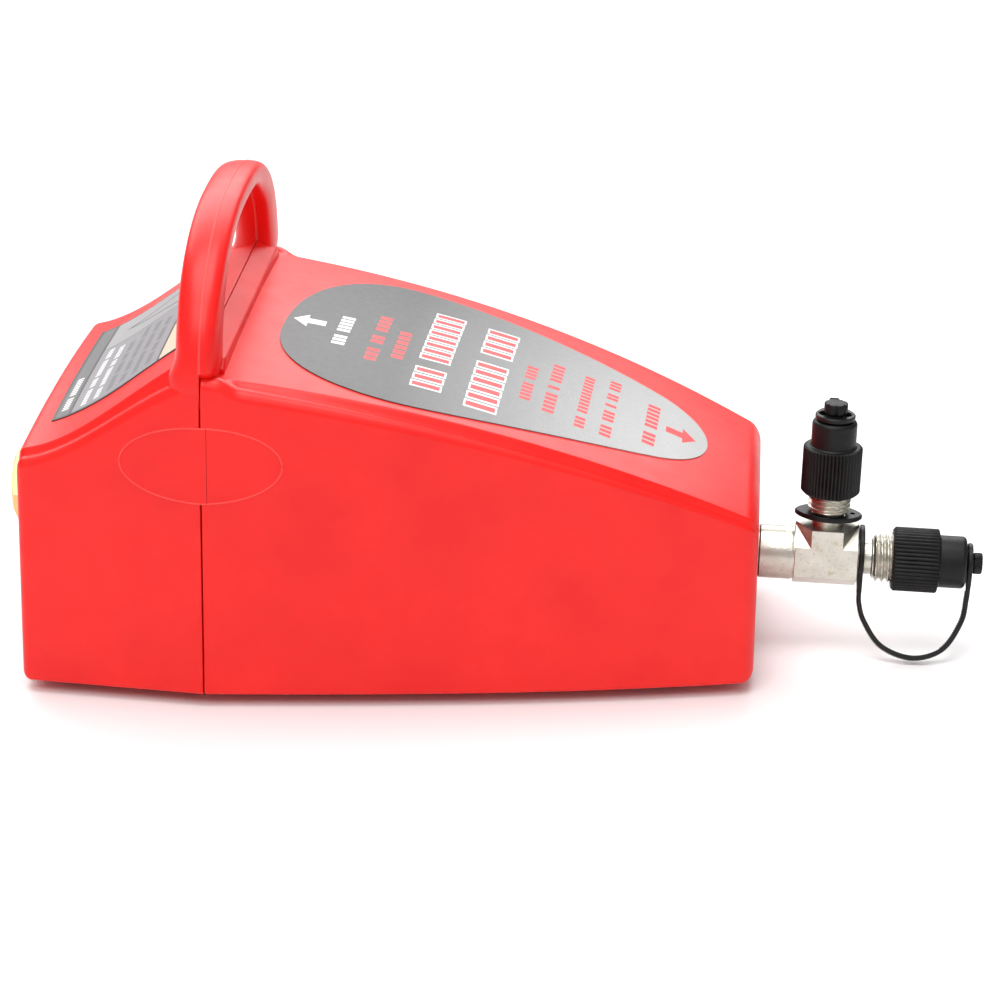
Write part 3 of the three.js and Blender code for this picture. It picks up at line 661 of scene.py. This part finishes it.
def wall_tongue(side, end, grow, proud):
    """Bar of side wall from the rear half across the joint, inside the ellipse mark."""
    rings = []
    for x in (-2.0, -SEAM_GAP, end):
        outer = wall_half(x) + proud
        inner = outer - WALL - grow - proud
        low, high = TAB["low"] - grow, TAB["high"] + grow
        corners = ((inner, low), (outer, low), (outer, high), (inner, high))
        rings.append([Vector((x, side * y, z)) for y, z in corners])
    return skin(rings)


def body_tool(name, part, place=BODY):
    # slot 1 is the paler red: partly flash, partly painted highlight on the ridges
    return piece(name, [part], place, [RED, RED_FLASH_AND_HIGHLIGHT])


def paint(thing, index, test):
    """Gives material index to the faces whose centre in mm passes the test."""
    back = BODY.inverted()
    for face in thing.data.polygons:
        if test(back @ face.center):
            face.material_index = index


def boss_bars(name, radius, start, end):
    """A round bar on the axis of each of the four housing screws."""
    bar = rod(radius, start, end, 40)
    return [body_tool(name, bar, BODY @ Matrix.Translation((0, y, z)))
            for y in (BOSS["y"], -BOSS["y"]) for z in BOSS["heights"]]


def node_middle(node):
    """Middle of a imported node's box, in mm of the building frame."""
    low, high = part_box(node)
    return ((low + high) / 2 - ORIGIN) / MM


def foot_places(end):
    """Place of each foot at the rear or front end, by node name, with the foot's own +X up."""
    places = {}
    for name in (f"foot_{end}_left", f"foot_{end}_right"):
        middle = node_middle(name)
        places[name] = BODY @ Matrix.Translation((middle.x, middle.y, 0)) @ UP
    return places


def foot_recesses(end):
    recess = rod(FOOT["radius"] + 0.4, -1, FOOT["recess"])
    return [body_tool("recess", recess, place) for place in foot_places(end).values()]


def shell_and_grip(name, profile):
    """One hollow half of the housing, and its hollow half of the handle as a tool to join to it."""
    shell = body_tool(name, housing_skin(profile))
    combine(shell, "DIFFERENCE", [body_tool("hollow", hollow_skin(profile))])
    grip = body_tool("grip", handle_half(profile["side"]))
    combine(grip, "DIFFERENCE", [body_tool("core", handle_half(profile["side"], HANDLE["core"]))])
    return shell, grip


def make_rear_shell():
    shell, grip = shell_and_grip("rear_shell", REAR)
    tools = boss_bars("boss", BOSS["hole"] + 1.3, 1 - REAR_LENGTH, -2) + [grip]
    tools += [body_tool("tongue", wall_tongue(side, TAB["end"], 0, 0)) for side in (-1, 1)]
    combine(shell, "UNION", tools + grip_marks(86, 274))
    inlet = rod(INLET["shank"] + 0.3, -60, -40)
    cuts = boss_bars("hole", BOSS["hole"], -60, BOSS["seat"]) + foot_recesses("rear")
    cuts.append(body_tool("inlet", inlet, BODY @ Matrix.Translation((0, 0, INLET["z"]))))
    combine(shell, "DIFFERENCE", cuts)
    # the ridges get the paler red: partly flash, partly painted highlight
    paint(shell, 1, flash_and_highlight_line)
    finish(shell, "root", "rear_housing")


def make_front_shell():
    shell, grip = shell_and_grip("front_shell", FRONT)
    combine(shell, "UNION", [grip, body_tool("rib", rib())] + grip_marks(-86, 86))
    cuts = [body_tool("tongue", wall_tongue(side, TAB["end"] + 0.1, 0.06, 1)) for side in (-1, 1)]
    cuts += foot_recesses("front")
    cuts += [body_tool("slot", slab((x - 1.5, -12, -1), (x + 1.5, 12, WALL + 1))) for x in SLOTS]
    cuts.append(body_tool("port", rod(7.1, 130, 150), BODY @ Matrix.Translation((0, 0, TEE_PIVOT.z + 0.1))))
    combine(shell, "DIFFERENCE", cuts)
    # the ridges get the paler red: partly flash, partly painted highlight
    paint(shell, 1, flash_and_highlight_line)
    finish(shell, "root", "front_housing")


def flash_and_highlight_line(point):
    """True on the raised ellipse and on the lip of the handle's joint, which get the paler red: partly flash,
    partly painted highlight.
    """
    x, y, z = point
    if z > 85 and abs(x) < 0.3:
        return True
    reach = math.hypot((x - MARK["x"]) / MARK["a"], (z - MARK["z"]) / MARK["b"])
    return abs(reach - 1) < 0.04 and abs(y) > wall_half(x) + 0.01


# ---- labels
def rectangle(x, y, length, width):
    a, b = length / 2, width / 2
    return [(x - a, y - b), (x + a, y - b), (x + a, y + b), (x - a, y + b)]


def row_of_blocks(x, start, end, height, pitch, words, slant=0.0):
    """A printed row across the label: equal plain blocks in groups, which spell nothing.

    words holds how many blocks each group has; pitch is a block's share of its step; slant leans the row.
    """
    blocks = []
    total = sum(words) + len(words) - 1
    step = (end - start) / total
    place = start
    for count in words:
        for _ in range(count):
            y = place + step / 2
            blocks.append(rectangle(x + slant * (y - (start + end) / 2), y, height, step * pitch))
            place += step
        place += step
    return blocks


def arrow(x, y, length, width, towards):
    """Block arrow lying along x; towards is 1 or -1."""
    head, shaft = length * 0.45, width * 0.2
    points = [(0, 0), (head, width / 2), (head, shaft), (length, shaft), (length, -shaft),
              (head, -shaft), (head, -width / 2)]
    return [(x + towards * (length / 2 - u), y + v) for u, v in points]


def curve_points(*controls, steps=16):
    """Points on a Bezier curve of any degree, without its last point."""
    made = []
    for i in range(steps):
        layer = [Vector(c) for c in controls]
        t = i / steps
        while len(layer) > 1:
            layer = [a.lerp(b, t) for a, b in zip(layer, layer[1:])]
        made.append(tuple(layer[0]))
    return made


def resample(shape, longest):
    """The same closed shape with its long edges divided, so that a print follows the curved panel."""
    made = []
    for a, b in zip(shape, shape[1:] + shape[:1]):
        parts = math.ceil(math.dist(a, b) / longest)
        made += [tuple(Vector(a).lerp(Vector(b), i / parts)) for i in range(parts)]
    return made


def inside(point, outline):
    """Even-odd test of a point against a closed outline."""
    x, y = point
    hit = False
    for (x0, y0), (x1, y1) in zip(outline, outline[1:] + outline[:1]):
        if (y0 > y) != (y1 > y) and x < x0 + (y - y0) * (x1 - x0) / (y1 - y0):
            hit = not hit
    return hit


def label(name, profile, outline, prints):
    """A thin grey sheet on the top panel; prints is a list of (outline, material), laid in order."""
    grid = LABEL["grid"]
    points = []
    edges = []
    for shape in [outline] + [shape for shape, _ in prints]:
        shape = resample(shape, grid)
        first = len(points)
        points += [Vector(p) for p in shape]
        edges += [(first + i, first + (i + 1) % len(shape)) for i in range(len(shape))]
    xs = [p[0] for p in outline]
    ys = [p[1] for p in outline]
    columns = int((max(xs) - min(xs)) / grid)
    rows = int((max(ys) - min(ys)) / grid)
    for i in range(1, columns):
        for j in range(1, rows):
            spot = (min(xs) + (max(xs) - min(xs)) * i / columns,
                    min(ys) + (max(ys) - min(ys)) * (j + 0.25 * (i % 2)) / rows)
            if inside(spot, outline):
                points.append(Vector(spot))
    verts, _, faces, _, _, _ = delaunay_2d_cdt(points, edges, [], 1, 1e-4)
    materials = [FOIL]
    for _, material in prints:
        if material not in materials:
            materials.append(material)
    flat = [(v.x, v.y, panel_height(profile, v.x, v.y) + LABEL["lift"]) for v in verts]
    sheet = piece(name, [(flat, faces)], BODY, materials, 50)
    back = BODY.inverted()
    for face in sheet.data.polygons:
        centre = back @ face.center
        for shape, material in prints:
            if inside((centre.x, centre.y), shape):
                face.material_index = materials.index(material)
    if sum(face.normal.z * face.area for face in sheet.data.polygons) < 0:
        sheet.data.flip_normals()
    modify(sheet, "SOLIDIFY", thickness=LABEL["thick"] * MM, offset=-1)
    soften(sheet, 50)
    return sheet


def make_front_label():
    outline = curve_points((14.2, -14), (14.2, -35), (27, -46), (44, -47))
    outline += curve_points((44, -47), (60, -48), (98, -34.5), (112, -25.5), steps=24)
    outline += curve_points((112, -25.5), (128, -14.5), (126.5, 9), (112, 19.5), steps=24)
    outline += curve_points((112, 19.5), (98, 28), (62, 41.5), (44, 42.5), steps=24)
    outline += curve_points((44, 42.5), (27, 43.5), (14.2, 24), (14.2, -14))
    prints = [(arrow(20.3, -4.2, 8.4, 9.4, -1), WHITE_INK), (arrow(116.5, -4.5, 7.8, 10.5, 1), RED_INK)]
    # place along the label, ends across it, height, groups of blocks, colour, colour of a core
    rows = [
        (29.2, -17.8, 5.2, 3.4, (3, 5), WHITE_INK, None),
        (38.2, -24, 12.2, 3.2, (3, 2, 4), RED_INK, None),
        (44.3, -18.6, 3.6, 3.0, (6,), RED_INK, None),
        (53.6, -34, 26.5, 8.0, (3, 8), WHITE_INK, RED_INK),
        (67.6, -37.8, 25.8, 8.4, (6, 4), WHITE_INK, RED_INK),
        (77.2, -21.5, 4.8, 2.8, (5, 4), RED_INK, None),
        (83.5, -25, 13, 3.0, (5, 1, 5), RED_INK, None),
        (91.6, -27.6, 12.3, 2.6, (3, 11), RED_INK, None),
        (98.2, -27.2, 16.3, 2.9, (3, 3, 1, 2, 3), RED_INK, None),
        (108.8, -21.2, 9.6, 3.2, (3, 6), RED_INK, None),
    ]
    for x, start, end, height, words, colour, core in rows:
        pitch = 0.86 if core else 0.72
        prints += [(block, colour) for block in row_of_blocks(x, start, end, height, pitch, words, 0.03)]
        if core:
            cores = row_of_blocks(x, start, end, height - 1.0, 0.50, words, 0.03)
            prints += [(block, core) for block in cores]
    finish(label("front_foil_label", FRONT, outline, prints), "root", "front_label")


def make_rear_label():
    far = [(-28, 38.6), (-34.5, 37.6), (-41.3, 36.6)]
    near = [(-41.3, -36.6), (-34.5, -37.6), (-28, -38.6)]
    side = curve_points((-28, -38.6), (-18, -39.6), (-8.6, -37), steps=12)[1:]
    outline = near + side + [(-8.6, -37), (-8.6, 37)]
    outline += [(x, -y) for x, y in reversed(side)] + far
    prints = [
        ([(-40.4, -35.6), (-36.9, -36.1), (-36.9, 36.1), (-40.4, 35.6)], GREY_INK),
        ([(-36.3, 12.5), (-9.4, 12.5), (-9.4, 36.2), (-20, 38), (-28, 37.6), (-36.3, 36.3)], PAPER),
        ([(-36.3, -36.2), (-28, -37.6), (-20, -38), (-14.2, -37.6), (-14.2, 12.0), (-36.3, 12.0)], PALE_INK),
        ([(-13.6, -37.4), (-9.4, -36.2), (-9.4, 12.0), (-13.6, 12.0)], CREAM_INK),
        ([(-32.5, 24.2), (-12.5, 15.2), (-12.5, 33.2)], BLACK_INK),
        ([(-30.6, 24.2), (-13.4, 16.6), (-13.4, 31.8)], PAPER),
    ]
    lines = ((7, 4, 8, 5), (5, 9, 3, 7), (8, 6, 4, 6), (4, 5, 9, 6), (9, 7, 5), (6, 4, 7, 5))
    for line, words in enumerate(lines):
        for block in row_of_blocks(-33.6 + 3.3 * line, -34.5, 9.5 - 3 * (line % 3), 1.5, 0.62, words):
            prints.append((block, WHITE_INK if line < 2 else GREY_INK))
    for block in row_of_blocks(-38.7, -32, -8, 1.7, 0.62, (6, 9)):
        prints.append((block, WHITE_INK))
    finish(label("rear_paper_label", REAR, outline, prints), "root", "rear_label")


# ---- feet, screws and inlet
def make_feet():
    low = -FOOT["height"]
    profile = [(low, 0), (low, 2.2), (low + 0.35, 2.6), (low + 0.35, 4.6), (low, 5.0), (low, 5.7),
               (low + 0.2, 6.2), (low + 0.7, 6.5), (-0.3, 7.0), (0.7, 7.0), (0.7, 0)]
    for name, place in (foot_places("rear") | foot_places("front")).items():
        foot = piece(name + "_moulded", [lathe(profile, 56)], place, [RUBBER], 40)
        finish(foot, "root", name)


def make_housing_screws():
    """Pan-head screws with a cross recess, seen down the four holes in the rear face."""
    seat = BOSS["seat"] - 0.3
    crown_x = seat - 2.4
    profile = [(crown_x, 0), (crown_x, 1.6), (crown_x + 0.25, 2.6), (crown_x + 0.9, 3.3),
               (crown_x + 1.5, 3.5), (seat, 3.5), (seat, 1.6), (seat + 18, 1.6), (seat + 20, 0.4),
               (seat + 20, 0)]
    for i in range(4):
        node = f"housing_screw_{i + 1}"
        middle = node_middle(node)
        place = BODY @ Matrix.Translation((0, middle.y, middle.z))
        screw = piece(f"cross_screw_{i + 1}", [lathe(profile, 40)], place, [STEEL], 35)
        turn = Matrix.Rotation(0.4 + i, 4, "X")
        cross = [slab((crown_x - 1, -0.45, -1.9), (crown_x + 1.3, 0.45, 1.9)),
                 slab((crown_x - 1, -1.9, -0.45), (crown_x + 1.3, 1.9, 0.45))]
        tools = [piece("cross", [bar], place @ turn, [STEEL]) for bar in cross]
        combine(screw, "DIFFERENCE", tools, 35)
        finish(screw, "root", node)


def make_inlet():
    """Brass inlet: a chamfered hexagon with a threaded bore."""
    face = -REAR_LENGTH - INLET["reach"]
    place = BODY @ Matrix.Translation((0, 0, INLET["z"]))
    hexagon = hex_bar(INLET["flats"], face, -REAR_LENGTH - 0.3, faces_up=True)
    fitting = piece("brass_inlet", [hexagon], place, [BRASS])
    dome = lathe([(face, 0), (face, 8.3), (face + 0.9, 9.9), (face + 1.6, 10.6), (-REAR_LENGTH - 1.2, 10.6),
                  (-REAR_LENGTH - 0.3, 9.4), (-REAR_LENGTH - 0.3, 0)], 72)
    combine(fitting, "INTERSECT", [piece("dome", [dome], place, [BRASS])])
    shank = rod(INLET["shank"], -REAR_LENGTH - 1, -33, 56)
    combine(fitting, "UNION", [piece("shank", [shank], place, [BRASS])])

    def female(x, r, angle):
        if x < face + 0.9 or x > face + 13.5:
            return r
        phase = (x / INLET["pitch"] - angle / math.tau) % 1
        return r - INLET["tooth"] * abs(2 * phase - 1)

    profile = [(face - 1, 0), (face - 1, 6.9), (face, 6.8)]
    profile += [(face + 0.9 + 0.2 * i, 6.3 - 0.006 * i) for i in range(64)]
    profile += [(face + 14.5, 4.6), (face + 16, 3), (0, 3), (0, 0)]
    bore = piece("bore", [lathe(profile, 56, female)], place, [BRASS])
    combine(fitting, "DIFFERENCE", [bore], 28)
    finish(fitting, "root", "inlet_fitting")


# ---- tee, caps and tethers
def thread(spec, tail):
    """Neck, helical thread and chamfered end, along +X."""
    start, end, pitch = spec["start"], spec["end"], spec["pitch"]

    def helix(x, r, angle):
        if not start <= x <= end:
            return r
        phase = (x / pitch - angle / math.tau) % 1
        tooth = min(1, max(0, (1 - abs(2 * phase - 1)) * 1.35 - 0.12))
        fade = min(smooth((x - start) / (0.5 * pitch)), smooth((end - x) / pitch))
        return spec["root"] + (spec["crest"] - spec["root"]) * tooth * fade

    steps = int((end - start) / pitch * 12)
    profile = [(tail, 0), (tail, spec["neck"]), (start - 0.35, spec["neck"])]
    profile += [(start + (end - start) * i / steps, spec["root"]) for i in range(steps + 1)]
    profile += [(end + 0.6, spec["root"] - 0.5), (end + 0.6, 0)]
    return lathe(profile, 64, helix)


def make_tee():
    """Suction tee: two crossed hexagons, a round stub into the housing and two threaded ports."""
    back, front, top = 147.0, 163.5, 9.0
    tee = piece("tee_body", [hex_bar(HEX_FLATS, back, front)], RUN, [ZINC])
    branch = piece("branch", [hex_bar(HEX_FLATS, -1, top)], BRANCH, [ZINC])
    combine(tee, "UNION", [branch])
    round_edges(tee, 0.22)
    stub = lathe([(FRONT_LENGTH + 0.3, 0), (FRONT_LENGTH + 0.3, 6.6), (FRONT_LENGTH + 0.7, 7.0),
                  (back - 0.9, 7.0), (back - 0.5, 6.85), (back + 1, 6.85), (back + 1, 0)], 72)
    shank = rod(INLET["shank"], FRONT_LENGTH - 11, FRONT_LENGTH + 1, 48)
    tail = rod(2.2, 116, FRONT_LENGTH, 32)
    parts = [piece("part", [shape], RUN, [ZINC]) for shape in (stub, shank, tail, thread(ACME, front - 1))]
    parts.append(piece("part", [thread(FLARE, top - 1)], BRANCH, [ZINC]))
    combine(tee, "UNION", parts)
    bores = [piece("bore", [rod(1.5, 110, BRANCH_X, 24)], RUN, [ZINC]),
             piece("bore", [rod(2.4, BRANCH_X - 2, 190, 32)], RUN, [ZINC]),
             piece("bore", [rod(2.0, 0, 60, 32)], BRANCH, [ZINC])]
    combine(tee, "DIFFERENCE", bores, 28)
    finish(tee, "root", "tee_fitting")


def cap(name, spec, place, node):
    """Knurled cap: ribbed grip, smooth nose, and a notched knob that holds the tether's eye."""
    grip, nose, knob = spec["grip"], spec["nose"], spec["knob"]
    mouth, shoulder, face, end = spec["mouth"], spec["shoulder"], spec["face"], spec["end"]

    def shape(x, r, angle):
        if mouth + 0.2 < x < shoulder + 0.001 and r > nose + 0.5:
            wave = 0.5 + 0.5 * math.cos(CAP_RIBS * angle)
            return r - 0.42 * (1 - wave ** 0.6) * smooth((x - mouth) / 0.5)
        if x > face + RING_THICK + 0.4 and knob - 0.9 < r < knob + 0.01:
            return r - 0.35 * max(0, math.cos(8 * angle)) ** 2
        return r

    outer = [(mouth, spec["bore"]), (mouth, grip - 0.75), (mouth + 0.25, grip - 0.45), (mouth + 0.7, grip)]
    outer += [(mouth + 0.7 + (shoulder - mouth - 1.2) * i / 4, grip) for i in range(1, 5)]
    outer += [(shoulder - 0.2, grip - 0.12), (shoulder, grip - 0.5), (shoulder + 0.05, grip - 0.9),
              (shoulder + 0.02, nose + 0.35), (shoulder + 0.35, nose)]
    outer += [(face - 1.2 + 1.2 * math.sin(a), nose - 1.2 + 1.2 * math.cos(a))
              for a in (math.pi / 2 * i / 6 for i in range(7))]
    collar = face + RING_THICK + 0.6
    outer += [(face, spec["groove"]), (collar, spec["groove"]), (collar, knob - 0.25), (collar + 0.25, knob),
              (end - 0.45, knob), (end - 0.12, knob - 0.2), (end, knob - 0.6), (end, 0)]
    ceiling = shoulder - 0.7
    profile = [(ceiling, 0), (ceiling, spec["bore"])] + outer
    made = piece(name, [lathe(profile, CAP_RIBS * 8, shape)], place, [BLACK], 38)
    finish(made, node, node)


def spline(points, steps):
    """Evenly stepped points on a Catmull-Rom curve through the given points."""
    ends = [2 * points[0] - points[1], *points, 2 * points[-1] - points[-2]]
    dense = []
    for a, b, c, d in zip(ends, ends[1:], ends[2:], ends[3:]):
        for i in range(24):
            t = i / 24
            dense.append(0.5 * (2 * b + (c - a) * t + (2 * a - 5 * b + 4 * c - d) * t * t
                                + (3 * b - a - 3 * c + d) * t ** 3))
    dense.append(points[-1])
    lengths = [0.0]
    for a, b in zip(dense, dense[1:]):
        lengths.append(lengths[-1] + (b - a).length)
    made, k = [], 0
    for i in range(steps + 1):
        want = lengths[-1] * i / steps
        while k < len(dense) - 2 and lengths[k + 1] < want:
            k += 1
        share = (want - lengths[k]) / max(1e-9, lengths[k + 1] - lengths[k])
        made.append(dense[k].lerp(dense[k + 1], min(1, share)))
    return made


def strap(points, flat, teeth):
    """Moulded strap along a plane curve; flat is the direction of its width, teeth the toothed stretch."""
    steps, corner = STRAP["steps"], STRAP["round"]
    w, thin = STRAP["width"] / 2, STRAP["thick"] / 2
    path = spline(points, steps)
    rings = []
    for i, point in enumerate(path):
        ahead = (path[min(i + 1, steps)] - path[max(i - 1, 0)]).normalized()
        across = ahead.cross(flat).normalized()
        half = thin
        if teeth[0] < i / steps < teeth[1] and i % 2:
            half += STRAP["tooth"]
        corners = [(w, -half + corner), (w, half - corner), (w - corner, half), (corner - w, half),
                   (-w, half - corner), (-w, corner - half), (corner - w, -thin), (w - corner, -thin)]
        rings.append([point + flat * u + across * v for u, v in corners])
    return skin(rings)


def eye(inner, outer, start, reach, flat=0.0, long=0.0):
    """Flat eye about +X with a tab towards +Y, or a lens of half width flat; long stretches the hole."""
    count = 72
    angles = [math.tau * i / count for i in range(count)]
    outline = []
    for angle in angles:
        tab = smooth((math.cos(angle) - 0.6) / 0.4)
        r = outer + (reach - outer) * tab
        y, z = r * math.cos(angle), r * math.sin(angle)
        if flat:
            z = flat * math.sin(angle) * abs(math.sin(angle)) ** 0.25
        elif math.cos(angle) > 0.6:
            limit = TAB_HALF + 3 * (1 - tab)
            z = max(-limit, min(limit, z))
        outline.append((y, z))
    edge = 0.25
    sides = ((start, edge), (start + edge, 0), (start + RING_THICK - edge, 0), (start + RING_THICK, edge))
    rings = [[Vector((x, y * (1 - shrink / outer), z * (1 - shrink / outer))) for y, z in outline]
             for x, shrink in sides]
    rings += [[Vector((x, (inner + grow) * math.cos(a), (inner + long + grow) * math.sin(a))) for a in angles]
              for x, grow in reversed(sides)]
    return skin(rings, closed=True)


def tether_part(name, shape, place, sharp=40):
    return piece(name, [shape], place, [BLACK_SMOOTH], sharp)


def tether_strap(band, start, end, node):
    """Bakes a strap's placement into its mesh and hides the imported strap node; start and end are not used.
    """
    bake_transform(band)
    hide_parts(node)


def make_acme_tether():
    """An eye round the port's neck, a hanging strap, and an eye round the cap's knob."""
    lean = math.radians(29.5)
    hang = Matrix.Rotation(-math.pi / 2 - lean, 4, "X")      # turns an eye's tab from +Y to the hanging plane
    neck_x = 163.5 + EYE_GAP
    cap_x = ACME_CAP["face"] + EYE_GAP
    neck = tether_part("acme_neck_eye", eye(ACME["neck"] + 0.3, 8.4, neck_x, 9.9), RUN @ hang)
    finish(neck, "root", "acme_tether_neck_eye")
    knob = tether_part("acme_cap_eye", eye(ACME_CAP["groove"] + 0.3, 5.2, cap_x, 6.6), RUN @ hang)
    finish(knob, "acme_carrier", "acme_tether_cap_eye")
    loop = [(0.65, 9.4), (0.8, 12.4), (2.3, 17.0), (7.1, 23.3), (15.3, 25.9), (23.0, 23.2), (27.5, 15.9),
            (28.6, 9.9), (cap_x - neck_x + 0.65, 6.0)]
    down = Vector((0, -math.sin(lean), -math.cos(lean)))
    flat = Vector((0, math.cos(lean), -math.sin(lean)))
    points = [Vector((neck_x + a, 0, 0)) + down * d for a, d in loop]
    band = tether_part("acme_strap", strap(points, flat, (0.62, 0.97)), RUN, 30)
    tether_strap(band, points[0], points[-1], "acme_tether_strap")


def make_flare_tether():
    """A drooping ring round the port's neck, a strap behind the tee, and an eye round the cap's knob."""
    neck_h = 9 + 1.8
    cap_h = FLARE_CAP["face"] + EYE_GAP
    rest = Matrix.Translation((neck_h + 0.65, 0, 0))
    sag = BRANCH @ rest @ Matrix.Rotation(0.04, 4, "Y") @ rest.inverted()
    ring = tether_part("flare_neck_eye", eye(FLARE["neck"] + 0.3, 8.8, neck_h, 8.8, flat=5.7),
                       sag @ Matrix.Rotation(math.pi / 2, 4, "X"))
    pin = rod(0.75, neck_h - 1, neck_h + 3, 20)
    hole = tether_part("hole", pin, sag @ Matrix.Translation((0, 0, -6.2)), 32)
    combine(ring, "DIFFERENCE", [hole], 40)
    finish(ring, "root", "flare_tether_neck_eye")
    knob = tether_part("flare_cap_eye", eye(FLARE_CAP["groove"] + 0.4, 5.2, cap_h, 6.6, long=1.5), BRANCH)
    finish(knob, "flare_carrier", "flare_tether_cap_eye")
    back = [(5.6, neck_h + 0.65), (9.9, neck_h + 0.65), (15, neck_h + 1.7), (21, neck_h + 4.6),
            (25.6, neck_h + 9.6), (26.6, neck_h + 15.4), (23.6, neck_h + 21.4), (17.4, neck_h + 25.6),
            (11.4, neck_h + 27.2), (6.2, cap_h + 0.65)]
    points = [Vector((BRANCH_X, y, h)) for y, h in back]
    band = tether_part("flare_strap", strap(points, Vector((1, 0, 0)), (0.6, 0.95)), RUN, 30)
    tether_strap(band, points[1], points[-1], "flare_tether_strap")


# ---- CAD nodes that stay
def dress_frame():
    """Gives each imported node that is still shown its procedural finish, by its material slot."""
    finishes = {"steel": STEEL, "brass": BRASS, "aluminium": ALUMINIUM, "foam": FOAM, "rubber": RUBBER,
                "black_plastic": BLACK, "zinc_plate": ZINC}
    wanted = {part["node"]: part["material_slot"] for part in frame["record"]["subparts"]}
    for name, node in frame["nodes"].items():
        if node.hide_render:
            continue
        look = finishes[wanted[name]]
        if not node.data.materials:
            node.data.materials.append(look)
        for slot in node.material_slots:
            slot.material = look


# ---- camera, floor and light
def make_camera():
    """A long lens at the pump's -Y side near the tee, looking down at the housing and a little rearwards."""
    yaw, pitch, roll = (math.radians(CAMERA[turn]) for turn in ("yaw", "pitch", "roll"))
    forward = Vector((-math.sin(yaw) * math.cos(pitch), math.cos(yaw) * math.cos(pitch), -math.sin(pitch)))
    right0 = Vector((math.cos(yaw), math.sin(yaw), 0))
    down0 = forward.cross(right0)
    right = math.cos(roll) * right0 + math.sin(roll) * down0
    down = -math.sin(roll) * right0 + math.cos(roll) * down0
    data = bpy.data.cameras.new("camera")
    data.lens = CAMERA["lens"]
    data.sensor_width = 36
    data.clip_start = 0.01
    data.clip_end = 20
    camera = add("camera", data)
    turn = Matrix((right, -down, -forward)).transposed().to_4x4()
    camera.matrix_world = Matrix.Translation(BODY @ Vector(CAMERA["place"])) @ turn
    bpy.context.scene.camera = camera


def make_floor():
    mesh = bpy.data.meshes.new("floor")
    corners = [(FLOOR_SIZE * x, FLOOR_SIZE * y, 0) for x, y in ((-1, -1), (1, -1), (1, 1), (-1, 1))]
    mesh.from_pydata(corners, [], [(0, 1, 2, 3)])
    floor = add("floor", mesh)
    m = Nodes("pale_floor")
    m.set(Base_Color=m.mix(m.noise(6, 2), (0.88, 0.88, 0.88), (0.90, 0.90, 0.90)),
          Roughness=m.span(m.noise(30, 3), 0.40, 0.48), Specular_IOR_Level=0.3)
    mesh.materials.append(m.material)


def lamp(name, place, target, size, power, size_y=None):
    data = bpy.data.lights.new(name, "AREA")
    data.shape = "RECTANGLE"
    data.size = size
    data.size_y = size_y or size
    data.energy = power
    light = add(name, data)
    light.location = place
    light.rotation_mode = "QUATERNION"
    light.rotation_quaternion = (Vector(target) - Vector(place)).to_track_quat("-Z", "Y")


def make_light():
    """White surroundings, dim behind at eye level, with softboxes overhead, behind and in front."""
    world = bpy.data.worlds.new("studio")
    world.use_nodes = True
    tree = world.node_tree
    direction = tree.nodes.new("ShaderNodeSeparateXYZ")
    tree.links.new(tree.nodes.new("ShaderNodeTexCoord").outputs["Generated"], direction.inputs[0])
    parts = []
    for axis, dark, light in (("Z", 0.40, 0.70), ("Y", 0.25, -0.25)):
        span = tree.nodes.new("ShaderNodeMapRange")
        span.inputs["From Min"].default_value = dark
        span.inputs["From Max"].default_value = light
        tree.links.new(direction.outputs[axis], span.inputs["Value"])
        parts.append(span.outputs["Result"])
    lit = tree.nodes.new("ShaderNodeMath")
    lit.operation = "MAXIMUM"
    tree.links.new(parts[0], lit.inputs[0])
    tree.links.new(parts[1], lit.inputs[1])
    level = tree.nodes.new("ShaderNodeMapRange")
    level.inputs["To Min"].default_value = 0.14
    level.inputs["To Max"].default_value = 0.54
    tree.links.new(lit.outputs["Value"], level.inputs["Value"])
    background = tree.nodes["Background"]
    background.inputs["Color"].default_value = (1, 1, 1, 1)
    tree.links.new(level.outputs["Result"], background.inputs["Strength"])
    bpy.context.scene.world = world
    lamp("overhead_softbox", (-0.1, -0.05, 1.3), (0, 0, 0), 0.9, 12)
    lamp("back_softbox", (-0.35, 1.65, 1.12), (0, 0, 0.05), 2.4, 29, 1.2)
    lamp("front_softbox", (-0.2, -1.1, 1.3), (0, 0, 0.05), 0.8, 9)
    view = bpy.context.scene.view_settings
    view.view_transform = "Standard"
    view.look = "None"


make_camera()
make_rear_shell()
make_front_shell()
make_front_label()
make_rear_label()
make_feet()
make_housing_screws()
make_inlet()
make_tee()
cap("acme_cap_knurled", ACME_CAP, RUN, "acme_cap")
cap("flare_cap_knurled", FLARE_CAP, BRANCH, "flare_cap")
make_acme_tether()
make_flare_tether()
dress_frame()
make_floor()
make_light()
